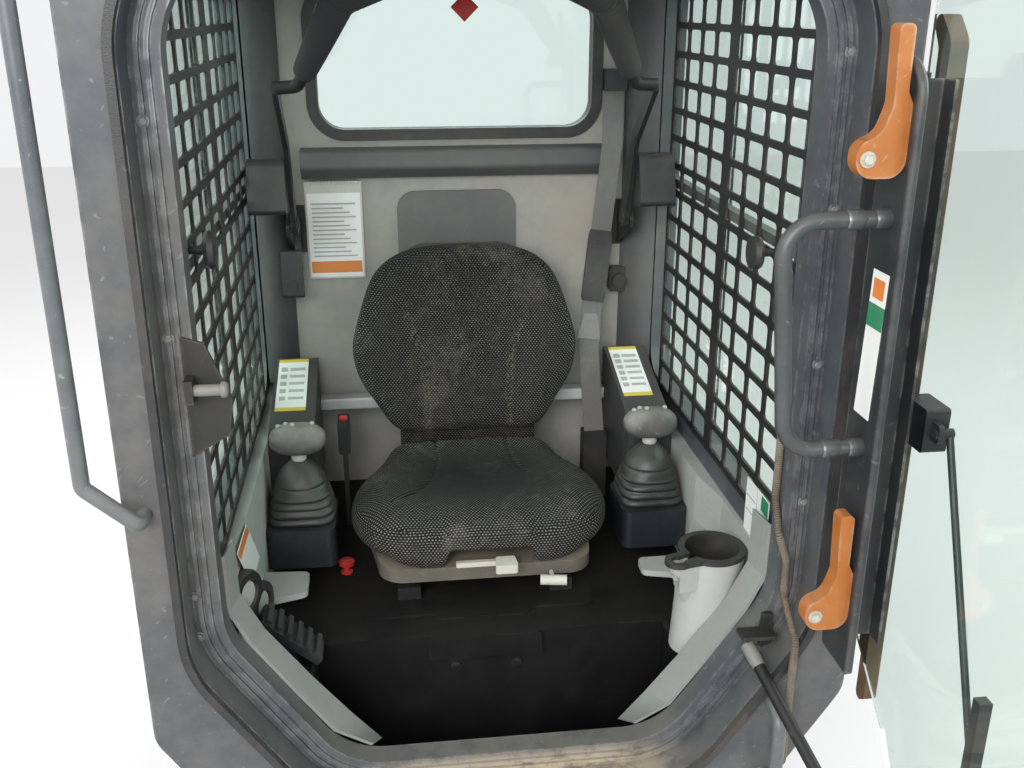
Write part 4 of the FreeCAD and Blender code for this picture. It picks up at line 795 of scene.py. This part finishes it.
cushion_plan = closed_outline([(0.176, 0.0), (0.178, 0.115), (0.190, 0.172), (0.222, 0.218), (0.280, 0.250),
                               (0.350, 0.263), (0.430, 0.252), (0.500, 0.222), (0.560, 0.192), (0.605, 0.165),
                               (0.617, 0.135), (0.618, 0.0)], 220) * (1.022, 1)
rear_full = 0.34 - 0.22 * smooth_step((cushion_plan[:, 1] - 0.50) / 0.10)
upholstered("cushion_cover", crowned(cushion_plan, (0.0, 0.395), cushion_top, cushion_foot, rear_full), 0.006, [
    ([(-0.078, 0.615), (-0.076, 0.520), (-0.088, 0.450)], 0.007, 0.005, 0.3),
    ([(0.078, 0.615), (0.088, 0.500), (0.105, 0.430)], 0.007, 0.005, 0.3),
    ([(0.000, 0.615), (0.006, 0.540)], 0.003, 0.005, 0.3),
    ([(-0.088, 0.450), (-0.100, 0.395), (-0.135, 0.330), (-0.175, 0.290)], 0.005, 0.005, 0),
    ([(0.060, 0.520), (0.085, 0.450)], 0.004, 0.005, 0),
], lambda points: points, cushion_wear, "seat_cushion")


def back_front(across, along):
    """Face of the seat back: wings at the sides, a recessed middle panel and a full lumbar."""
    wing = 0.009 * smooth_step((np.abs(across) - 0.09 - 0.10 * along) / 0.05)
    lumbar = 0.006 * np.exp(-((along - 0.13) / 0.09) ** 2 - (across / 0.12) ** 2)
    return 0.030 + wing + lumbar


def leaned(points):
    """Pad's (across, height, depth) turned 9 degrees backwards and set on the seat's rear edge."""
    lean = math.radians(9)
    depth = -points[:, 2]
    return np.stack([points[:, 0], 0.620 + depth * math.cos(lean) + points[:, 1] * math.sin(lean),
                     0.546 - depth * math.sin(lean) + points[:, 1] * math.cos(lean)], -1)


def back_wear(across, along, facing):
    """Flecks are evenly bright on the back and duller near its top."""
    return 0.22 + 0.3 * smooth_step((along - 0.22) / 0.2) + 0.15 * np.exp(-(across / 0.07) ** 2)


back_plan = closed_outline([(-0.014, 0.0), (-0.014, 0.160), (0.010, 0.176), (0.060, 0.206), (0.110, 0.240),
                            (0.182, 0.256), (0.275, 0.230), (0.355, 0.200), (0.396, 0.150), (0.411, 0.090),
                            (0.415, 0.0)], 220) * (1.02, 1)
foot_full = 0.36 - 0.24 * smooth_step((0.08 - back_plan[:, 1]) / 0.07)
back_shape = crowned(back_plan, (0.0, 0.19), back_front, lambda across, along: -0.036 + 0 * across, foot_full)
upholstered("back_cover", back_shape, 0.006, [
    ([(-0.092, -0.005), (-0.090, 0.080), (-0.100, 0.180), (-0.130, 0.260)], 0.004, 0.005, 1),
    ([(0.092, -0.005), (0.090, 0.080), (0.100, 0.180), (0.130, 0.260)], 0.004, 0.005, 1),
], leaned, back_wear, "seat_back")

flap_row, flap_up = np.meshgrid(np.linspace(-1, 1, 49), np.linspace(0, 1, 9), indexing="ij")
flap_points = np.stack([0.152 * flap_row, 0.6235 + 0.0012 * np.sin(11 * flap_row) * (1 - flap_up),
                        0.500 + 0.040 * flap_up], -1).reshape(-1, 3)
flap = mesh_object("back_flap", flap_points, grid_faces(49, 9, False), 60)
flap_wall = flap.modifiers.new("wall", "SOLIDIFY")
flap_wall.thickness = 0.0025
baked(flap)
flap_wear = flap.data.attributes.new("wear", "FLOAT", "POINT")
flap_wear.data.foreach_set("value", np.full(len(flap.data.vertices), 0.55, np.float32))
flap.data.shade_smooth()
put(flap, fabric, "cab", "seat_fabric")

pan_coat = finish("seat_pan_coat", coat, (0.10, 0.092, 0.080), (0.20, 0.165, 0.12), bare=(0.30, 0.22, 0.15),
                  rub=0.8, dirt=0.8, gloss=0.5)
dress(pan_coat, "seat_pan")
dress(black_plastic, "seat_shell")
dress(plain("lever_white", (0.55, 0.53, 0.48), 0.4, 0.5), "seat_levers")

# Consoles, pods and what stands on them: moulded boxes screwed to the seat box, with blank function
# plates, and on the pods the two sticks, each with a ribbed rubber boot, a collar and a two-lobed
# rubber grip with small push buttons, whose pale grey is partly wear and partly painted sheen.
console_plastic = finish("console_plastic", moulding, (0.024, 0.026, 0.029), (0.11, 0.10, 0.085), dirt=0.35,
                         grain=800.0, gloss=0.38)
pod_plastic = finish("pod_plastic", moulding, (0.012, 0.015, 0.019), (0.07, 0.065, 0.055), dirt=0.35,
                     grain=800.0, gloss=0.33)
dress(console_plastic, "arm_consoles", "foot_rest")
dress(pod_plastic, "stick_pods")
console_up = np.array((0, 0.2913, 0.0870))
for name, across, rows in (("left_plate", (-0.4165, -0.3515), 5), ("right_plate", (0.3395, 0.4045), 6)):
    bands = [("white", 0, 1, 0.05, 1), ("yellow", 0, 1, 0, 0.06), ("yellow", 0, 1, 0.94, 1.0)]
    for row in range(rows):
        middle = 0.16 + 0.70 * (row + 0.5) / rows
        bands.append(("grey", 0.10, 0.30, middle - 0.035, middle + 0.035))
        bands.append(("grey", 0.40, 0.90, middle - 0.02, middle + 0.02))
    start = np.array((across[0], 0.4437, 0.6030)) + console_up * 0.32
    fields(name, start, (across[1] - across[0], 0, 0), console_up * 0.62, bands, "cab")

boot_rubber = finish("boot_rubber", moulding, (0.018, 0.019, 0.020), (0.12, 0.115, 0.10), dirt=0.35,
                     grain=600.0, gloss=0.30)


def squarish(angle, power):
    """Unit radius of a superellipse: (|cos| ** power + |sin| ** power) ** (-1 / power)."""
    return (np.abs(np.cos(angle)) ** power + np.abs(np.sin(angle)) ** power) ** (-1 / power)


def stacked(levels, centre, sides):
    """Closed form of superellipses: each level is (half width, half depth, height, power)."""
    levels = np.array(levels, float)
    angle = np.linspace(0, 2 * np.pi, sides, endpoint=False)
    radius = squarish(angle[None], levels[:, 3, None])
    points = np.stack([centre[0] + levels[:, 0, None] * radius * np.cos(angle),
                       centre[1] + levels[:, 1, None] * radius * np.sin(angle),
                       np.broadcast_to(levels[:, 2, None], radius.shape)], -1)
    return points.reshape(-1, 3), grid_faces(len(levels), sides, True, True)


def bellows_levels():
    """Folds of a boot: the radius swings over three folds, then closes in a dome to the neck."""
    share = np.linspace(0, 1, 64)
    height = 0.4700 + 0.118 * share
    fold = np.abs(np.sin(np.pi * np.clip(share / 0.46, 0, 1) * 3.5)) ** 0.7
    radius = 0.0655 - 0.020 * share + 0.0045 * (fold - 0.5) * (share < 0.46)
    dome = np.clip((share - 0.46) / 0.54, 0, 1)
    radius = radius - 0.030 * dome ** 2.6 - 0.002 * np.exp(-((dome - 0.30) / 0.03) ** 2)
    levels = np.stack([radius, radius, height, 4.6 - 2.5 * smooth_step(share / 0.62)], -1)
    return np.concatenate([[[0.02, 0.02, 0.4700, 4.6]], levels, [[0.013, 0.013, 0.5885, 2.1]]])


stick_across, stick_along = 0.357, 0.375
boots = gathered([stacked(bellows_levels(), (side * stick_across, stick_along), 72) for side in (-1, 1)])
put(mesh_object("stick_boots", *boots, 50), boot_rubber, "cab", "bellows_rubber", "stick_bellows")
# The grips' pale dust and bare colours are partly worn rubber and partly a painted sheen.
grip_rubber = finish("grip_rubber", coat, (0.085, 0.083, 0.080), (0.30, 0.28, 0.25), bare=(0.36, 0.35, 0.33),
                     rub=0.9, dirt=0.9, gloss=0.30)


def grip(side):
    """Grip head: superellipses whose half sizes rise and fall with height, bulged at both lobes and
    sunk a little between them, where cos(2 angle) is smallest."""
    share = np.linspace(0.03, 0.97, 30)
    swell = np.sin(np.pi * share ** 0.85) ** 0.45
    levels = np.stack([0.014 + 0.038 * swell, 0.011 + 0.020 * swell, 0.604 + 0.060 * share,
                       np.full(30, 2.6)], -1)
    points, faces = stacked(levels, (0, 0), 56)
    angle = np.arctan2(points[:, 1], points[:, 0])
    points[:, :2] *= (1 + 0.07 * np.cos(2 * angle) * swell.repeat(56))[:, None]
    points[:, 2] += 0.004 * (np.abs(points[:, 0]) / 0.05) ** 2 * (points[:, 2] > 0.630)
    return points + np.array((side * stick_across, stick_along, 0)), faces


grips = gathered([grip(side) for side in (-1, 1)]
                 + [turned([(0.013, 0), (0.0135, 0.012), (0.010, 0.020)], 24,
                           (side * stick_across, stick_along, 0.5882)) for side in (-1, 1)])
put(mesh_object("grip_heads", *grips, 50), grip_rubber, "cab", "grip_rubber", "stick_grips")
button_profile = [(0.0045, 0), (0.0045, 0.0035), (0.0032, 0.0046), (0.0003, 0.0048)]
button_spots = ((-0.036, -0.004), (-0.022, 0.006), (-0.008, 0.002), (0.030, 0.004))
buttons = gathered([turned(button_profile, 14, (side * stick_across + across, stick_along + along, 0.6625))
                    for side in (-1, 1) for across, along in button_spots])
pale_plastic = plain("pale_plastic", (0.45, 0.45, 0.43), 0.35)
put(mesh_object("grip_buttons", *buttons, 40), pale_plastic, "cab", "grip_rubber")
collars = gathered([turned([(0.0135, 0), (0.0150, 0.003), (0.0150, 0.011), (0.0120, 0.014)], 24,
                           (side * stick_across, stick_along, 0.5895)) for side in (-1, 1)])
put(mesh_object("grip_collars", *collars, 40), pale_plastic, "cab", "grip_rubber")

# Small controls and the cross bar: a moulded red pull knob on the deck, the red button in the
# belt's buckle, and a squarish steel tube in pale coat between the consoles, behind the seat.
red_plastic = plain("red_plastic", (0.55, 0.02, 0.015), 0.35)
pull = turned([(0.012, 0), (0.012, 0.004), (0.006, 0.006), (0.006, 0.016), (0.016, 0.019), (0.017, 0.027),
               (0.012, 0.030), (0.0005, 0.031)], 28, (-0.275, 0.352, 0.3402))
button = stacked([(0.009, 0.006, 0.5955, 6), (0.009, 0.006, 0.6015, 6), (0.007, 0.004, 0.6030, 6)],
                 (-0.275, 0.566), 24)
put(mesh_object("red_controls", *gathered([pull, button]), 35), red_plastic, "cab", "belt_hardware")
bar_line = np.stack([np.linspace(-0.330, 0.330, 12), np.full(12, 0.722), np.full(12, 0.577)], -1)
bar_angle = np.linspace(0, 2 * np.pi, 32, endpoint=False)
bar_outline = (squarish(bar_angle, 8.0) * np.array((0.018 * np.cos(bar_angle), 0.014 * np.sin(bar_angle)))).T
pale_coat = finish("pale_coat", coat, (0.50, 0.51, 0.52), (0.30, 0.26, 0.2), rub=0.4, dirt=0.5, gloss=0.3)
put(mesh_object("cross_bar", *swept(bar_line, bar_outline, (0, 0, 1)), 30), pale_coat, "cab", "cab_frame_paint")

# Seat belt: woven polyester webbing from the guide to the winder, a padded sleeve, a latch plate
# pressed from steel, and the black moulded buckle on its stalk.
webbing = finish("webbing", weave, (0.13, 0.127, 0.12), (0.30, 0.27, 0.22), fleck=(0.22, 0.215, 0.20),
                 across=0.0030, up=0.0016, bump=0.5, depth=0.0004)
dress(webbing, "belt_webbing")
dress(black_plastic, "belt_guide", "belt_buckles")
flat = (squarish(bar_angle, 7.0) * np.array((0.0275 * np.cos(bar_angle), 0.0065 * np.sin(bar_angle)))).T
sleeve_line = rounded_path([(0.3215, 0.7450, 0.958), (0.3200, 0.7440, 0.946), (0.2985, 0.7142, 0.800)], 0.05, 0.004)
share = np.linspace(0, 1, len(sleeve_line))
puff = 1 - 0.12 * np.exp(-share * 25) - 0.12 * np.exp(-(1 - share) * 25)
put(mesh_object("belt_sleeve", *swept(sleeve_line, flat, (0, 1, 0), puff), 50), foam_black, "cab", "belt_fabric")
plate_line = np.array([(0.2955, 0.7085, 0.772), (0.2930, 0.7040, 0.755), (0.2900, 0.6980, 0.728),
                       (0.2885, 0.6935, 0.716)])
put(mesh_object("latch_plate", *swept(plate_line, flat * (0.95, 0.45), (0, 1, 0), [0.62, 0.70, 0.98, 1.0]), 40),
    dull_steel, "cab", "belt_hardware")

# Grab rails and door handle: bent steel tube in grey coat, rubbed shiny where hands hold it. The
# handle's two ends are crimped and screwed to the door's side member.
grab_coat = finish("grab_coat", coat, (0.085, 0.095, 0.104), (0.22, 0.21, 0.19), bare=(0.48, 0.48, 0.48),
                   rub=0.9, dirt=0.35, gloss=0.18)
dress(grab_coat, "grab_rail_left", "grab_rail_right")
handle_coat = finish("handle_coat", coat, (0.036, 0.042, 0.045), (0.13, 0.125, 0.11), bare=(0.34, 0.33, 0.31),
                     rub=1.0, dirt=0.3, gloss=0.20)
dress(handle_coat, "door_handle")
crimps = gathered([turned([(0.0112, -0.012), (0.0128, -0.009), (0.0128, 0.009), (0.0112, 0.012)], 24,
                          (across, -0.355, up), (1, 0, 0)) for up in (1.193, 0.888) for across in (0.440, 0.404)])
put(mesh_object("handle_crimps", *crimps, 40), handle_coat, "door", "handle_steel")

# Door fittings: dark coated steel side member with a blank label strip, orange coated release
# levers that turn on plated screws, and the black moulded latch and wiper.
strip_coat = finish("strip_coat", coat, (0.020, 0.022, 0.025), (0.11, 0.10, 0.085), rub=0.6, dirt=0.3,
                    gloss=0.30)
dress(strip_coat, "door_strip", "strut_door_stud")
dress(black_plastic, "door_latch", "wiper")
fields("strip_label", (0.4468, -0.325, 0.930), (0, -0.042, 0), (0, -0.009, 0.196),
       [("white", 0, 1, 0, 1), ("green", 0, 1, 0.62, 0.78), ("orange", 0.15, 0.85, 0.82, 0.95)], "door")
lever_orange = finish("lever_orange", coat, (0.36, 0.115, 0.022), (0.30, 0.17, 0.08), bare=(0.50, 0.42, 0.33),
                      rub=0.7, dirt=0.3, gloss=0.34)
plated = finish("plated_steel", coat, (0.44, 0.42, 0.37), (0.3, 0.24, 0.16), rub=0.5, dirt=0.5, gloss=0.28)
dress(lever_orange, "release_levers")
for height in (1.269, 0.646):
    screws(f"lever_pin_{int(height * 1000)}", [(0.399, -0.3795, height)], (0, -1, 0), 0.0065, plated, "door",
           "lever_orange")

# Wiring loom: ribbed plastic conduit, brown with dust, slit and pushed over the wires. It runs
# down the ring's right side to the lower grab rail and is clipped to the ring all the way.
conduit = finish("conduit", moulding, (0.095, 0.070, 0.050), (0.25, 0.21, 0.16), dirt=0.9, grain=500.0,
                 gloss=0.5)
loom_line = rounded_path([(0.433, -0.122, 0.845), (0.433, -0.122, 0.700), (0.433, -0.150, 0.650),
                          (0.450, -0.1518, 0.600), (0.450, -0.1518, 0.540), (0.450, -0.216, 0.490),
                          (0.449, -0.216, 0.250), (0.449, -0.195, 0.250)], 0.018, 0.0009)
rib = 0.0060 + 0.0007 * np.sin(np.arange(len(loom_line)) * (2 * np.pi / 4))
put(mesh_object("loom_conduit", *swept(loom_line, circle(1.0, 12), (1, 0.2, 0), rib), 40), conduit, "cab", "loom",
    "wiring_loom")

# Gas strut: a black coated steel cylinder and a bright rod, with a turned fitting at the
# cylinder's end that snaps over a ball stud on the cab.
strut_black = finish("strut_black", coat, (0.008, 0.008, 0.009), (0.04, 0.037, 0.033), rub=0.3, dirt=0.2,
                     gloss=0.3, specular=0.35)
dress(strut_black, "strut_tube")
dress(wire, "strut_rod")
ball = np.array((0.395, -0.165, 0.450))
run = np.array((0.500, -0.545, 0.240)) - ball
run /= np.linalg.norm(run)
fitting = [(0.0060, -0.010), (0.0116, -0.006), (0.0118, 0.018), (0.0106, 0.030), (0.0104, 0.034)]
put(mesh_object("strut_fitting", *turned(fitting, 28, ball, run), 40), dull_steel, "strut_tube", "strut_steel")

# Red tag at the top of the rear window: a slightly twisted square of stiff plastic sheet, hung
# by one corner on a short black cord, which pulls the window's seal out.
tag_row, tag_column = np.meshgrid(np.linspace(-1, 1, 13), np.linspace(-1, 1, 13), indexing="ij")
tag_half, tag_twist = 0.021 / 1.414, 0.004
tag_points = np.stack([0.020 + tag_half * (tag_row + tag_column), 0.792 - tag_twist * tag_row * tag_column,
                       1.436 + tag_half * (tag_row - tag_column)], -1).reshape(-1, 3)
tag = mesh_object("release_tag", tag_points, grid_faces(13, 13, False), 60)
wall = tag.modifiers.new("wall", "SOLIDIFY")
wall.thickness = 0.0012
baked(tag)
tag.data.shade_smooth()
put(tag, red_plastic, "cab", "paper")
cord_line = rounded_path([(0.020, 0.792, 1.455), (0.017, 0.794, 1.490), (0.020, 0.797, 1.520)], 0.02, 0.004)
put(mesh_object("tag_cord", *swept(cord_line, circle(0.0013, 8)), 60), black_plastic, "cab", "paper")
